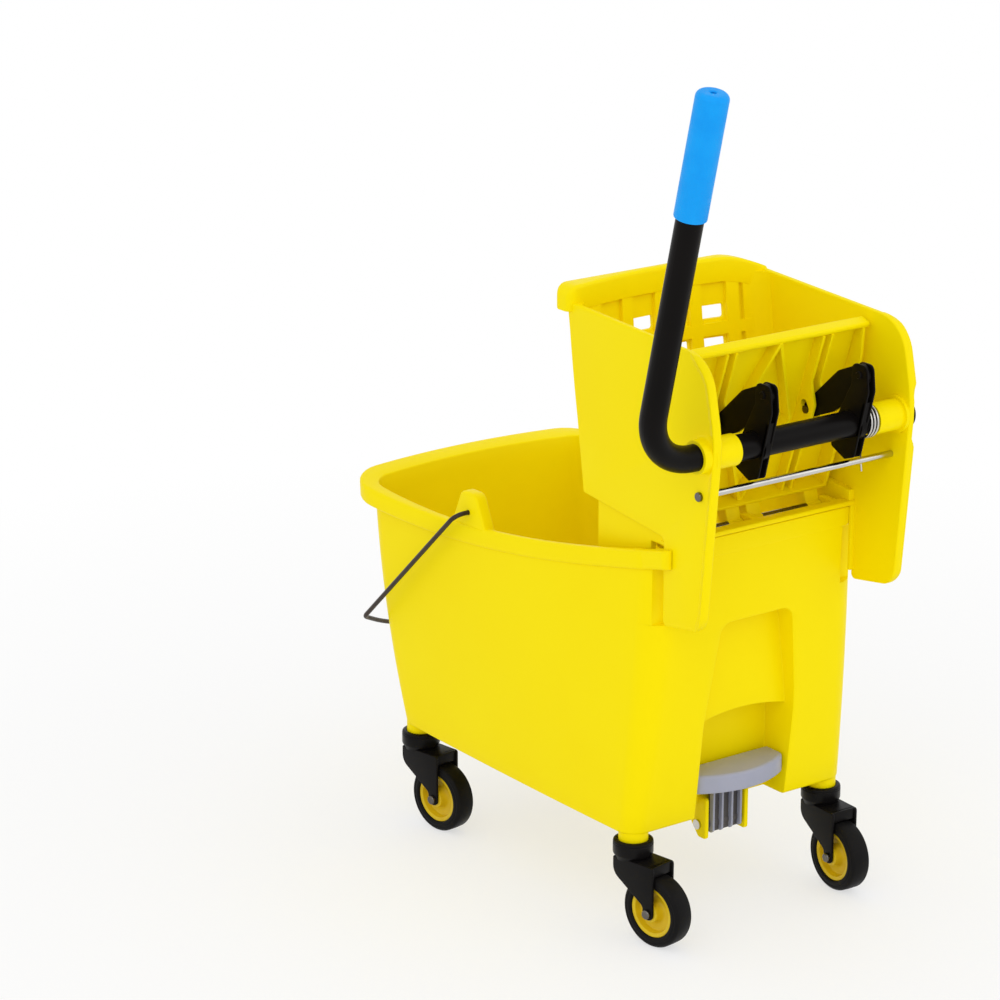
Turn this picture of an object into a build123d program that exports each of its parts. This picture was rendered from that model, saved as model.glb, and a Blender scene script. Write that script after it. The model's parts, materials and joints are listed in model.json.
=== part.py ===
import math
import os

from build123d import *

# Foot-pedal mop bucket with a side-press wringer. Millimetres, +Z up.
# The origin is on the floor, midway between the caster stems. The pouring end is -X,
# the pedal and the wringer are at +X, and the hand lever is on the -Y side.

# Fits
run_fit = 0.05
face_gap = 0.4
swing_gap = 0.5

# Casters
wheel_base = 380.0
wheel_track = 253.0
wheel_d = 76.0
tyre_w = 24.0
tyre_wall = 11.0
tyre_shoulder = 5.0
hub_rim_w = 20.0
hub_rim_wall = 4.5
hub_web_t = 6.0
hub_boss_d = 20.0
fork_gap = 27.0
fork_wall = 3.2
fork_side_gap = 0.3
fork_end_r = 6.8
fork_lead = 13.0
fork_brow = 15.0
fork_notch_r = 6.0
fork_hood_r = 3.0
crown_gap = 10.0
hood_drop = 8.5
caster_trail = 35.0
collar_d = 42.0
collar_h = 18.0
collar_recess = 3.0
axle_d = 8.0
axle_head_d = 10.0
axle_nut_d = 14.0
axle_head_h = 3.6
axle_nut_h = 4.5
stem_d = 11.0
stem_head_d = 20.0
stem_head_h = 3.0
stem_bite = 34.0
swivel_rear_near = 9.5
swivel_front_near = 8.7
swivel_rear_far = -2.7
swivel_front_far = 4.0

# Bucket body
post_d = 31.0
post_drop = 11.5
post_cap = 5.0
wall = 4.0
floor_t = 5.0
knee_h = 114.0
brim_h = 315.0
side_rim_h = 264.0
front_rim_h = 280.0
base_front, knee_front, brim_front = 204.0, 232.0, 257.0
base_rear, knee_rear, brim_rear = 207.0, 220.0, 235.0
base_front_half, knee_front_half, brim_front_half = 143.0, 150.0, 152.0
base_rear_half, knee_rear_half, brim_rear_half = 144.0, 139.5, 130.0
base_front_r, knee_front_r, brim_front_r = 20.0, 28.0, 34.0
base_rear_r, knee_rear_r, brim_rear_r = 20.0, 26.0, 33.0
base_front_bow, knee_front_bow, brim_front_bow = 4.0, 10.0, 14.0
base_side_bow, knee_side_bow, brim_side_bow = 2.5, 5.8, 8.0
lip_out = 1.0
rim_run_out = 7.0
lip_front_out = 20.0
lip_side_out = 16.0
lip_mid_out = 1.0
lip_h = 20.0
rim_low_x = -140.0
rim_front_slope = 0.25
rim_rear_slope = 0.22
notch_inset_y = 22.0
notch_inset_x = 23.0
notch_foot_h = 232.0
recess_back_inset = 30.0
recess_half_top = 46.0
recess_half_foot = 60.0
recess_top_h = 217.0
recess_split_h = 110.0
recess_r = 14.0
bay_depth = 33.0
bay_arch = 8.0

# Bail
ear_x = -60.0
ear_rise = 36.0
ear_half = 13.0
ear_foot_half = 38.0
ear_t = 14.0
ear_out = 2.0
bail_d = 5.0
bail_hole_drop = 22.0
bail_reach = 236.0
bail_hang = 43.0
bail_side_gap = 17.0
bail_bow = 130.0
bail_bend_r = 12.0
bail_bow_r = 250.0

# Pedal and drain
pivot_inset = 32.0
pivot_drop = 23.0
pivot_d = 7.0
bracket_half = 26.5
bracket_t = 5.0
bracket_back = 12.0
bracket_fore = 12.0
bracket_foot = 14.0
bracket_up = 8.0
pedal_block_half = 19.5
pedal_block_t = 4.0
pedal_rib_t = 3.0
pedal_rib_depth = 4.0
pedal_hub_d = 18.0
pad_rise = 70.0
pad_depth = 20.0
pad_half = 58.0
pad_front = 5.0
pad_end = 31.0
pad_rear = 49.0
pad_top_t = 4.0
pad_wall = 3.0
pad_r = 5.0
arm_half = 14.0
arm_h = 11.0
drain_arm = 76.0
drain_pin_drop = 3.0
drain_pin_d = 5.0
drain_d = 34.0
plug_d = 48.0
plug_h = 6.0
plug_stem_d = 14.0
plug_slot_x = 2.6
plug_foot = 8.0
seal_d = 44.0
seal_t = 3.0
prong_gap = 0.6
pedal_travel = 12.0

# Wringer basket
shaft_back = 60.0
shaft_rise = 110.0
basket_half = 121.0
plate_t = 6.0
plate_top_rise = 96.0
plate_crown = 18.0
front_crown = 10.0
plate_behind = 20.0
plate_foot_drop = 192.0
plate_top_lead = 18.0
plate_bulge_rise = 15.0
plate_bulge_r = 120.0
plate_foot_lead = 18.0
plate_foot_rise = 10.0
plate_top_r = 42.0
plate_foot_r = 22.0
plate_tip_r = 4.0
plate_toe_r = 6.0
plate_step_r = 6.0
plate_hang_rise = 10.0
plate_heel_r = 3.0
edge_w = 4.5
edge_t = 4.0
front_foot_lead = 195.0
front_top_lead = 224.0
front_bow = 13.0
front_foot_bow = 2.5
front_wall_t = 4.0
front_lip_h = 21.0
front_lip_out = 8.0
front_corner_r = 9.5
front_rib_t = 13.0
front_rib_depth = 12.0
hole_w = 21.0
hole_h = 17.0
hole_pitch_y = 44.5
hole_pitch_z = 34.0
hole_rows = 4
hole_top_rise = 71.0
floor_rise = 24.0
basket_floor_t = 4.0
basket_floor_len = 60.0
floor_bite = 0.8
weep_d = 10.0
weep_pitch = 24.0
seat_gap = 0.5
beam_t = 5.0
hook_t = 4.5
hook_drop = 24.0
hook_gap = 4.5
hook_inset = 23.0
flange_t = 4.0
flange_w = 5.0
leg_inset = 3.5
gusset_t = 7.0
gusset_fore = 85.0
gusset_drop = 10.0
boss_d = 34.5
boss_h = 13.0
bushing_d = 32.0
bushing_near_len = 28.0
bushing_far_len = 36.0
bushing_collar_d = 38.0
bushing_collar_t = 4.0
tie_d = 7.0
tie_back = 7.2
tie_drop = 43.6
cap_d = 9.6
cap_h = 3.6

# Press plate
hinge_fore_len = 90.0
hinge_drop = 114.0
hinge_d = 8.0
hinge_lug_t = 8.0
hinge_lug_d = 17.0
hinge_lug_inset = 17.0
knuckle_w = 18.0
knuckle_d = 16.0
plate_lean = 18.6
press_side_gap = 9.0
press_len = 212.0
press_foot = 13.0
press_face = 30.0
press_skin = 4.0
press_back = 8.0
press_rim_h = 8.0
press_rib_t = 4.0
press_rib_depth = 12.0
press_diamond_half = 40.0
lug_t = 3.5
lug_gap = 1.5
lug_round = 10.0
slot_gap = 0.4

# Lever
tube_d = 27.0
tube_wall = 2.0
lever_out = 202.0
lever_bend_r = 58.0
lever_lean = 13.9
lever_len = 389.0
lever_travel = 75.0
collar_ring_d = 33.0
collar_ring_t = 3.5
grip_d = 32.0
grip_len = 125.0
grip_cap = 6.0
grip_hole_d = 6.0
grip_edge = 5.0
arm_y = 62.0
cheek_t = 2.0
link_t = 5.0
arm_hub_d = 35.0
web_t = 3.0
web_top_x, web_top_z = 22.0, 26.0
web_foot_x, web_foot_z = 13.0, -10.0
crank_x, crank_z = 12.5, 53.0
nose_x, nose_z = -63.0, 1.0
arm_head = 11.0
arm_back_x, arm_back_z = 26.5, 38.0
arm_heel_x, arm_heel_z = 8.0, -33.0
arm_toe_x, arm_toe_z = -6.0, -38.0
arm_tail_x, arm_tail_z = -27.0, -28.0
arm_front_x, arm_front_z = -17.0, 8.0
arm_head_r = 7.0
arm_back_r = 10.0
arm_heel_r = 5.0
arm_toe_r = 3.0
arm_tail_r = 4.0
arm_front_r = 8.0
link_pin_d = 8.0
link_pin_out = 1.5
link_head_r = 9.0
link_nose_r = 7.5
link_belly = 16.0
link_hump = 17.0
link_belly_at = 30.0
link_hump_at = 30.0

# Torsion spring
wire_d = 2.4
coil_mean_r = 16.5
coil_turns = 3
coil_end_gap = 2.0
spring_leg_drop = 57.0
spring_leg_up = 17.0
spring_hook_r = 2.6
leg_exit = 170.0

# Heights and stations that follow from the sizes above
axle_z = wheel_d / 2
crown_under = wheel_d + crown_gap
crown_top = crown_under + fork_wall
collar_top = crown_top + collar_h
post_foot = collar_top - collar_recess + face_gap
base_z = post_foot + post_drop
floor_top = base_z + floor_t
knee_z = base_z + knee_h
brim_z = base_z + brim_h
side_rim_z = base_z + side_rim_h
front_rim_z = base_z + front_rim_h
wide = base_front_half + brim_front_half
above_all = brim_z + lip_h
pivot_x = base_rear - pivot_inset
pivot_z = base_z - pivot_drop
drain_x = pivot_x - drain_arm
drain_pin_z = pivot_z - drain_pin_drop
shaft_x = brim_rear + shaft_back
shaft_z = brim_z + shaft_rise
shaft_r = tube_d / 2
plate_outer = basket_half + plate_t
press_half = basket_half - press_side_gap
hinge_lug_y = basket_half - hinge_lug_inset
hook_half = basket_half - hook_inset
basket_floor_z = brim_z + floor_rise
front_top_z = shaft_z + plate_top_rise + plate_crown + front_crown
hinge_x = shaft_x - hinge_fore_len
hinge_z = shaft_z - hinge_drop
tie_x = shaft_x - tie_back
tie_z = shaft_z - tie_drop
cheek_in = link_t / 2 + swing_gap
cheek_out = cheek_in + cheek_t
rim_back_x = brim_rear + lip_out


def rod(at, axis, radius, length):
    return extrude(Plane(origin=at, z_dir=axis) * Circle(radius), length)


def pipe(at, axis, outer_r, inner_r, length):
    return extrude(Plane(origin=at, z_dir=axis) * (Circle(outer_r) - Circle(inner_r)), length)


def block(x_from, x_to, y_from, y_to, z_from, z_to):
    centre = Pos((x_from + x_to) / 2, (y_from + y_to) / 2, (z_from + z_to) / 2)
    return centre * Box(x_to - x_from, y_to - y_from, z_to - z_from)


def outline(points, radii):
    return make_face(FilletPolyline(*points, radius=radii, close=True))


def slab(face, y_from, y_to):
    # A face drawn in x and z, made solid between two y stations.
    return extrude(Plane.XZ.offset(-y_to) * face, y_to - y_from)


def panel(face, x_from, x_to):
    # A face drawn in y and z, made solid between two x stations.
    return extrude(Plane.YZ.offset(x_from) * face, x_to - x_from)


def both_sides(shape):
    return shape + mirror(shape, about=Plane.XZ)


def at_height(z, base, knee, brim):
    # The quadratic through the sizes at the base, knee and brim.
    to_base, to_knee, to_brim = z - base_z, z - knee_z, z - brim_z
    share_base = to_knee * to_brim / (knee_h * brim_h)
    share_knee = to_base * to_brim / (knee_h * (knee_h - brim_h))
    share_brim = to_base * to_knee / (brim_h * (brim_h - knee_h))
    return base * share_base + knee * share_knee + brim * share_brim


def plan(z, front_grow, side_grow, rear_grow, mid_grow):
    # The bucket's outline at a height, grown outwards at its front, front corners, rear and mid-side.
    front = -at_height(z, base_front, knee_front, brim_front) - front_grow
    rear = at_height(z, base_rear, knee_rear, brim_rear) + rear_grow
    front_half = at_height(z, base_front_half, knee_front_half, brim_front_half)
    rear_half = at_height(z, base_rear_half, knee_rear_half, brim_rear_half)
    front_r = at_height(z, base_front_r, knee_front_r, brim_front_r) + side_grow
    rear_r = at_height(z, base_rear_r, knee_rear_r, brim_rear_r) + rear_grow
    bow_front = at_height(z, base_front_bow, knee_front_bow, brim_front_bow)
    bow_side = at_height(z, base_side_bow, knee_side_bow, brim_side_bow)
    mid_x = (front + rear) / 2
    mid_half = (front_half + rear_half) / 2 + bow_side + mid_grow
    front_half = front_half + side_grow
    rear_half = rear_half + rear_grow
    edges = [
        ThreePointArc((front, -front_half), (front - bow_front, 0), (front, front_half)),
        ThreePointArc((front, front_half), (mid_x, mid_half), (rear, rear_half)),
        Line((rear, rear_half), (rear, -rear_half)),
        ThreePointArc((rear, -rear_half), (mid_x, -mid_half), (front, -front_half)),
    ]
    face = make_face(edges)
    face = fillet(face.vertices().sort_by(Axis.X)[:2], front_r)
    face = fillet(face.vertices().sort_by(Axis.X)[-2:], rear_r)
    return (Pos(0, 0, z) * face).face()


def rim_line(drop):
    # The rim seen from the side: low behind the pouring end, rising to the rear.
    front_x = -(brim_front + brim_front_bow + 2 * lip_front_out)
    rear_x = rim_back_x + rim_run_out
    fore = (rim_low_x - front_x) / 3
    aft = (rear_x - rim_low_x) / 3
    front_z = front_rim_z - drop
    low_z = side_rim_z - drop
    rear_z = brim_z - drop
    first = Bezier(
        (front_x, front_z), (front_x + fore, front_z - rim_front_slope * fore),
        (rim_low_x - fore, low_z), (rim_low_x, low_z),
    )
    second = Bezier(
        (rim_low_x, low_z), (rim_low_x + aft, low_z),
        (rear_x - aft, rear_z - rim_rear_slope * aft), (rear_x, rear_z),
    )
    corner_rear = (rear_x, above_all + lip_h)
    corner_front = (front_x, above_all + lip_h)
    closing = Polyline((rear_x, rear_z), corner_rear, corner_front, (front_x, front_z))
    return make_face([first, second, closing])


def rim_z(x):
    # Height of the rim on its rising rear stretch.
    rear_x = rim_back_x + rim_run_out
    run = rear_x - rim_low_x
    part = (x - rim_low_x) / run
    rise = (brim_z - side_rim_z) * (3 * part ** 2 - 2 * part ** 3)
    return side_rim_z + rise + rim_rear_slope * run * (part ** 3 - part ** 2)


def side_y(x, z):
    # Distance of the side wall's outer face from the middle.
    front = -at_height(z, base_front, knee_front, brim_front)
    rear = at_height(z, base_rear, knee_rear, brim_rear)
    front_half = at_height(z, base_front_half, knee_front_half, brim_front_half)
    rear_half = at_height(z, base_rear_half, knee_rear_half, brim_rear_half)
    bow = at_height(z, base_side_bow, knee_side_bow, brim_side_bow)
    part = (x - front) / (rear - front)
    return front_half + (rear_half - front_half) * part + 4 * bow * part * (1 - part)


def rear_recess(grow):
    # A shallow panel recess above a deep open-bottomed bay for the pedal.
    back = brim_rear - recess_back_inset - grow
    split = base_z + recess_split_h
    top = base_z + recess_top_h + grow
    half_top = recess_half_top + grow
    half_foot = recess_half_foot + grow
    low = split - bay_arch
    shallow = outline(
        [(-half_foot, low), (-half_foot, split), (-half_top, top), (half_top, top), (half_foot, split),
         (half_foot, low)],
        [0, 0, recess_r, recess_r, 0, 0],
    )
    foot = base_z - post_drop
    arch_edge = split - bay_arch + grow
    bay = make_face([
        ThreePointArc((-half_foot, arch_edge), (0, split + grow), (half_foot, arch_edge)),
        Polyline((half_foot, arch_edge), (half_foot, foot), (-half_foot, foot), (-half_foot, arch_edge)),
    ])
    reach = brim_rear + lip_out
    bay_back = base_rear - bay_depth - grow
    return panel(shallow, back, reach) + panel(bay, bay_back, reach)


def corner_notches(grow):
    # The rear corners step in below the lip to let the wringer's plates hang there.
    x_from = brim_rear - notch_inset_x - grow
    y_from = brim_rear_half - notch_inset_y - grow
    z_from = base_z + notch_foot_h - grow
    z_to = brim_z - lip_h + grow
    return both_sides(block(x_from, rim_back_x + wall, y_from, wide, z_from, z_to))


def ear_hole_z():
    return rim_z(ear_x) + ear_rise - bail_hole_drop


def ears():
    top = rim_z(ear_x) + ear_rise
    foot = rim_z(ear_x) - lip_h / 2
    face = outline(
        [(ear_x - ear_foot_half, foot), (ear_x - ear_half, top), (ear_x + ear_half, top),
         (ear_x + ear_foot_half, foot)],
        [0, ear_half * 0.8, ear_half * 0.8, 0],
    )
    outer = side_y(ear_x, rim_z(ear_x)) + ear_out
    return both_sides(slab(face, outer - ear_t, outer))


def pedal_brackets():
    fore = pivot_x - bracket_fore
    back = pivot_x + bracket_back
    foot = pivot_z - bracket_foot
    top = base_z + bracket_up
    bay_back = base_rear - bay_depth
    face = outline(
        [(fore, base_z + floor_t / 2), (fore, pivot_z), (pivot_x, foot), (back, foot), (back, top),
         (bay_back - wall / 2, top)],
        [0, 4, 3, 3, 3, 0],
    )
    return both_sides(slab(face, bracket_half - bracket_t / 2, bracket_half + bracket_t / 2))


def caster_places():
    x, y = wheel_base / 2, wheel_track / 2
    return {
        "rear_near": (x, -y, swivel_rear_near),
        "front_near": (-x, -y, swivel_front_near),
        "rear_far": (x, y, swivel_rear_far),
        "front_far": (-x, y, swivel_front_far),
    }


def posts(outer):
    solid = None
    for x, y, turn in caster_places().values():
        below = rod((x, y, post_foot), (0, 0, 1), post_d / 2, post_drop)
        inside = rod((x, y, base_z), (0, 0, 1), post_d / 2, stem_bite + post_cap - post_drop)
        boss = below + (inside & outer)
        solid = boss if solid is None else solid + boss
    return solid


def bucket_body():
    levels = [base_z, knee_z, brim_z + lip_h]
    outer = loft([plan(z, 0.0, 0.0, 0.0, 0.0) for z in levels])
    inner_levels = [floor_top, knee_z, brim_z + lip_h]
    hollow = loft([plan(z, -wall, -wall, -wall, -wall) for z in inner_levels])
    hollow = hollow - rear_recess(wall) - corner_notches(wall)
    above = slab(rim_line(0.0), -wide, wide)
    band = slab(rim_line(lip_h), -wide, wide) - above
    lip_levels = [side_rim_z - 2 * lip_h, brim_z + lip_h]
    lip = loft([plan(z, lip_front_out, lip_side_out, lip_out, lip_mid_out) for z in lip_levels]) & band
    body = (outer - above) + lip - rear_recess(0.0) - corner_notches(0.0) - hollow
    body = body + posts(outer) + ears() + pedal_brackets()
    for x, y, turn in caster_places().values():
        body = body - rod((x, y, post_foot), (0, 0, 1), stem_d / 2, stem_bite)
    body = body - rod((drain_x, 0, base_z), (0, 0, 1), drain_d / 2, floor_t)
    body = body - rod((pivot_x, -wide, pivot_z), (0, 1, 0), pivot_d / 2, 2 * wide)
    bail_hole = rod((ear_x, -wide, ear_hole_z()), (0, 1, 0), bail_d / 2 + run_fit, 2 * wide)
    return body - bail_hole


def bail():
    # Wire handle hanging forwards and down, its cross-bar bowed away from the ears.
    hang = math.radians(bail_hang)
    along = Vector(-math.cos(hang), 0, -math.sin(hang))
    ear_face = side_y(ear_x, rim_z(ear_x)) + ear_out
    inner = ear_face - ear_t - bail_d
    side = ear_face + bail_side_gap
    hole = Vector(ear_x, 0, ear_hole_z())
    corner = hole + along * bail_reach
    crest = corner + along * bail_bow
    far = [hole + Vector(0, inner, 0), hole + Vector(0, side, 0), corner + Vector(0, side, 0)]
    near = [Vector(p.X, -p.Y, p.Z) for p in reversed(far)]
    bends = [bail_bend_r, bail_bend_r, bail_bow_r, bail_bend_r, bail_bend_r]
    path = FilletPolyline(*far, crest, *near, radius=bends)
    return sweep(Plane(origin=path @ 0, z_dir=path % 0) * Circle(bail_d / 2), path=path)


def pedal():
    pad_top = pivot_z + pad_rise
    pad_under = pad_top - pad_depth
    front, end, rear = pivot_x + pad_front, pivot_x + pad_end, pivot_x + pad_rear
    moon = make_face([
        Polyline((end, pad_half), (front, pad_half), (front, -pad_half), (end, -pad_half)),
        ThreePointArc((end, -pad_half), (rear, 0), (end, pad_half)),
    ])
    moon = fillet(moon.vertices(), pad_r)
    pad = extrude(Pos(0, 0, pad_under) * moon, pad_depth)
    hollow = extrude(Pos(0, 0, pad_under) * offset(moon, -pad_wall), pad_depth - pad_top_t)
    pad = pad - hollow
    face_x = pivot_x + pad_front
    foot = pivot_z - pedal_hub_d / 2
    half = pedal_block_half
    spine = block(face_x, face_x + pedal_block_t, -half, half, foot, pad_top - pad_top_t)
    rib_back = face_x + pedal_block_t + pedal_rib_depth
    rib_face = outline(
        [(face_x, foot), (rib_back, foot), (rib_back, pad_top - pad_top_t), (face_x, pad_top - pad_top_t)],
        [0, pad_r, 0, 0],
    )
    ribs = None
    for y in (half - pedal_rib_t / 2, half / 3):
        pair = both_sides(slab(rib_face, y - pedal_rib_t / 2, y + pedal_rib_t / 2))
        ribs = pair if ribs is None else ribs + pair
    hub_half = bracket_half - bracket_t / 2 - face_gap
    hub = rod((pivot_x, -hub_half, pivot_z), (0, 1, 0), pedal_hub_d / 2, 2 * hub_half)
    tip = drain_x - plug_stem_d / 2
    arm_top = drain_pin_z + arm_h / 2
    arm = block(tip, pivot_x, -arm_half, arm_half, arm_top - arm_h, arm_top)
    fork = plug_stem_d / 2 + prong_gap
    fork_end = drain_x + fork + 2 * plug_slot_x
    arm = arm - block(tip, fork_end, -fork, fork, arm_top - arm_h, arm_top)
    solid = pad + spine + ribs + hub + arm
    solid = solid - rod((pivot_x, -hub_half, pivot_z), (0, 1, 0), pivot_d / 2 + run_fit, 2 * hub_half)
    return solid - rod((drain_x, -arm_half, drain_pin_z), (0, 1, 0), drain_pin_d / 2, 2 * arm_half)


def pedal_pivot_pin():
    half = bracket_half + bracket_t / 2
    pin = rod((pivot_x, -half, pivot_z), (0, 1, 0), pivot_d / 2, 2 * half)
    head = rod((pivot_x, half, pivot_z), (0, 1, 0), pivot_d * 0.75, bracket_t / 2)
    return pin + both_sides(head)


def drain_pin():
    return rod((drain_x, -arm_half, drain_pin_z), (0, 1, 0), drain_pin_d / 2, 2 * arm_half)


def drain_plug():
    seat = floor_top + face_gap + seal_t
    foot = drain_pin_z - plug_foot
    stem = rod((drain_x, 0, foot), (0, 0, 1), plug_stem_d / 2, seat - foot)
    head = rod((drain_x, 0, seat), (0, 0, 1), plug_d / 2, plug_h)
    head = fillet(head.edges().sort_by(Axis.Z)[-1], plug_h / 2)
    slot_face = Pos(drain_x, drain_pin_z) * SlotOverall(
        drain_pin_d + 2 * plug_slot_x, drain_pin_d + 2 * face_gap)
    return stem + head - slab(slot_face, -plug_stem_d, plug_stem_d)


def plug_seal():
    at = (drain_x, 0, floor_top + face_gap)
    return pipe(at, (0, 0, 1), seal_d / 2, plug_stem_d / 2, seal_t)


def fork_frame():
    half = fork_gap / 2 + fork_wall
    back = caster_trail + fork_end_r
    plate_front = -fork_lead
    lead = caster_trail - fork_end_r
    cheek = outline(
        [(plate_front, crown_top), (plate_front, crown_under - fork_brow), (lead, axle_z + fork_end_r),
         (lead, axle_z - fork_end_r), (back, axle_z - fork_end_r), (back, crown_top)],
        [0, fork_brow, fork_notch_r, fork_end_r * 0.95, fork_end_r * 0.95, fork_hood_r],
    )
    cheeks = both_sides(slab(cheek, fork_gap / 2, half))
    crown = block(plate_front, back - fork_wall, -fork_gap / 2, fork_gap / 2, crown_under, crown_top)
    hood = block(back - 2 * fork_wall, back - fork_wall / 2, -fork_gap / 2, fork_gap / 2,
                 crown_top - fork_wall - hood_drop, crown_top)
    collar = rod((0, 0, crown_under), (0, 0, 1), collar_d / 2, collar_top - crown_under)
    collar = fillet(collar.edges().sort_by(Axis.Z)[-1], collar_recess)
    socket = rod((0, 0, collar_top - collar_recess), (0, 0, 1), post_d / 2 + face_gap, collar_recess)
    fork = cheeks + crown + hood + collar - socket
    fork = fork - rod((0, 0, crown_under), (0, 0, 1), stem_d / 2 + run_fit, collar_top - crown_under)
    return fork - rod((caster_trail, -half, axle_z), (0, 1, 0), axle_d / 2, 2 * half)


def caster_stem():
    shank = rod((0, 0, crown_under - face_gap), (0, 0, 1), stem_d / 2,
                post_foot + stem_bite - crown_under + face_gap)
    head = rod((0, 0, crown_under - face_gap - stem_head_h), (0, 0, 1), stem_head_d / 2, stem_head_h)
    return shank + head


def caster_axle():
    half = fork_gap / 2 + fork_wall
    shank = rod((caster_trail, -half, axle_z), (0, 1, 0), axle_d / 2, 2 * half + axle_nut_h)
    head = rod((caster_trail, -half, axle_z), (0, -1, 0), axle_head_d / 2, axle_head_h)
    return shank + fillet(head.edges().sort_by(Axis.Y)[0], axle_head_h / 2)


def caster_nut():
    half = fork_gap / 2 + fork_wall
    face = RegularPolygon(axle_nut_d / 2, 6) - Circle(axle_d / 2)
    return extrude(Plane(origin=(caster_trail, half, axle_z), z_dir=(0, 1, 0)) * face, axle_nut_h)


def turned(profile):
    # A profile in y (across) and z (radius), turned about the wheel's axle.
    ring = revolve(Plane.YZ * profile, axis=Axis.Y)
    return Pos(caster_trail, 0, axle_z) * ring


def caster_hub():
    rim_r = wheel_d / 2 - tyre_wall
    boss = fork_gap / 2 - fork_side_gap
    rim = hub_rim_w / 2
    web = hub_web_t / 2
    bore = axle_d / 2 + run_fit
    inner_rim = rim_r - hub_rim_wall
    half = [(boss, bore), (boss, hub_boss_d / 2), (web, hub_boss_d / 2 + 1), (web, inner_rim - 1),
            (rim, inner_rim), (rim, rim_r)]
    other = [(-y, r) for y, r in reversed(half)]
    return turned(make_face(Polyline(*half, *other, close=True)))


def caster_tyre():
    inner = wheel_d / 2 - tyre_wall
    outer = wheel_d / 2
    half = tyre_w / 2
    face = outline([(-half, inner), (half, inner), (half, outer), (-half, outer)],
                   [0, 0, tyre_shoulder, tyre_shoulder])
    return turned(face)


def front_at(z, y_half, inset):
    # The front wall's edge at a height, as the three points of its bowed line.
    part = (z - basket_floor_z) / (front_top_z - basket_floor_z)
    x = shaft_x - front_foot_lead - (front_top_lead - front_foot_lead) * part + inset
    bow = front_foot_bow + (front_bow - front_foot_bow) * part
    return (x, -y_half), (x - bow, 0), (x, y_half)


def front_strip(z, y_half, outside, inside):
    start, middle, end = front_at(z, y_half, outside)
    back_start, back_middle, back_end = front_at(z, y_half, inside)
    face = make_face([
        ThreePointArc(start, middle, end),
        Line(end, back_end),
        ThreePointArc(back_end, back_middle, back_start),
        Line(back_start, start),
    ])
    return (Pos(0, 0, z) * face).face()


def front_wall():
    top = front_top_z
    levels = [basket_floor_z + 1, top]
    skin = loft([front_strip(z, plate_outer, 0.0, front_wall_t) for z in levels], ruled=True)
    lip = loft([front_strip(z, plate_outer, -front_lip_out, front_wall_t / 2) for z in levels], ruled=True)
    lip = lip & block(0, shaft_x, -wide, wide, top - front_lip_h, top + front_lip_h)
    ribs_zone = loft([front_strip(z, plate_outer, front_wall_t / 2, front_wall_t + front_rib_depth)
                      for z in levels], ruled=True)
    wall_solid = skin + lip
    for column in (-2, -1, 0, 1, 2):
        y = column * hole_pitch_y
        bar = block(0, shaft_x - hinge_fore_len, y - front_rib_t / 2, y + front_rib_t / 2,
                    basket_floor_z, top - front_lip_h)
        wall_solid = wall_solid + (bar & ribs_zone)
    for row in range(hole_rows):
        z = shaft_z + hole_top_rise - row * hole_pitch_z
        for column in (-1.5, -0.5, 0.5, 1.5):
            y = column * hole_pitch_y
            wall_solid = wall_solid - block(0, shaft_x - hinge_fore_len, y - hole_w / 2, y + hole_w / 2,
                                            z - hole_h / 2, z + hole_h / 2)
    round_y, round_z = plate_outer - front_corner_r, top - front_corner_r
    corner = block(0, shaft_x, round_y, plate_outer + plate_t, round_z, top + plate_t)
    corner = corner - rod((0, round_y, round_z), (1, 0, 0), front_corner_r, shaft_x)
    return wall_solid - both_sides(corner)


def side_plate(collar_room):
    top = shaft_z + plate_top_rise
    back = shaft_x + plate_behind
    foot = shaft_z - plate_foot_drop
    lower_front = rim_back_x - leg_inset
    face = outline(
        [(shaft_x - front_top_lead + front_wall_t / 2, top + plate_crown), (back - plate_top_lead, top),
         (back, shaft_z + plate_bulge_rise), (back - plate_foot_lead, foot + plate_foot_rise),
         (lower_front, foot), (lower_front, brim_z + plate_hang_rise),
         (shaft_x - front_foot_lead + front_wall_t / 2, basket_floor_z)],
        [plate_tip_r, plate_top_r, plate_bulge_r, plate_foot_r, plate_toe_r, plate_step_r, plate_heel_r],
    )
    plate = slab(face, basket_half, plate_outer)
    flange = block(lower_front, lower_front + flange_t, basket_half - flange_w, basket_half,
                   foot + plate_foot_r / 2, brim_z - seat_gap)
    # A flange turned out along the rear edge, which on the far side leaves room for the shaft's collar.
    rear_edge = slab(face - Pos(-edge_t, 0) * face, plate_outer, plate_outer + edge_w)
    rear_edge = rear_edge & block(shaft_x - plate_foot_lead, back, 0, plate_outer + edge_w,
                                  foot + plate_foot_r, top - plate_top_r / 2)
    if collar_room > 0:
        rear_edge = rear_edge - block(shaft_x, back, plate_outer, plate_outer + edge_w,
                                      shaft_z - collar_room, shaft_z + collar_room)
    return plate + flange + rear_edge


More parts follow.
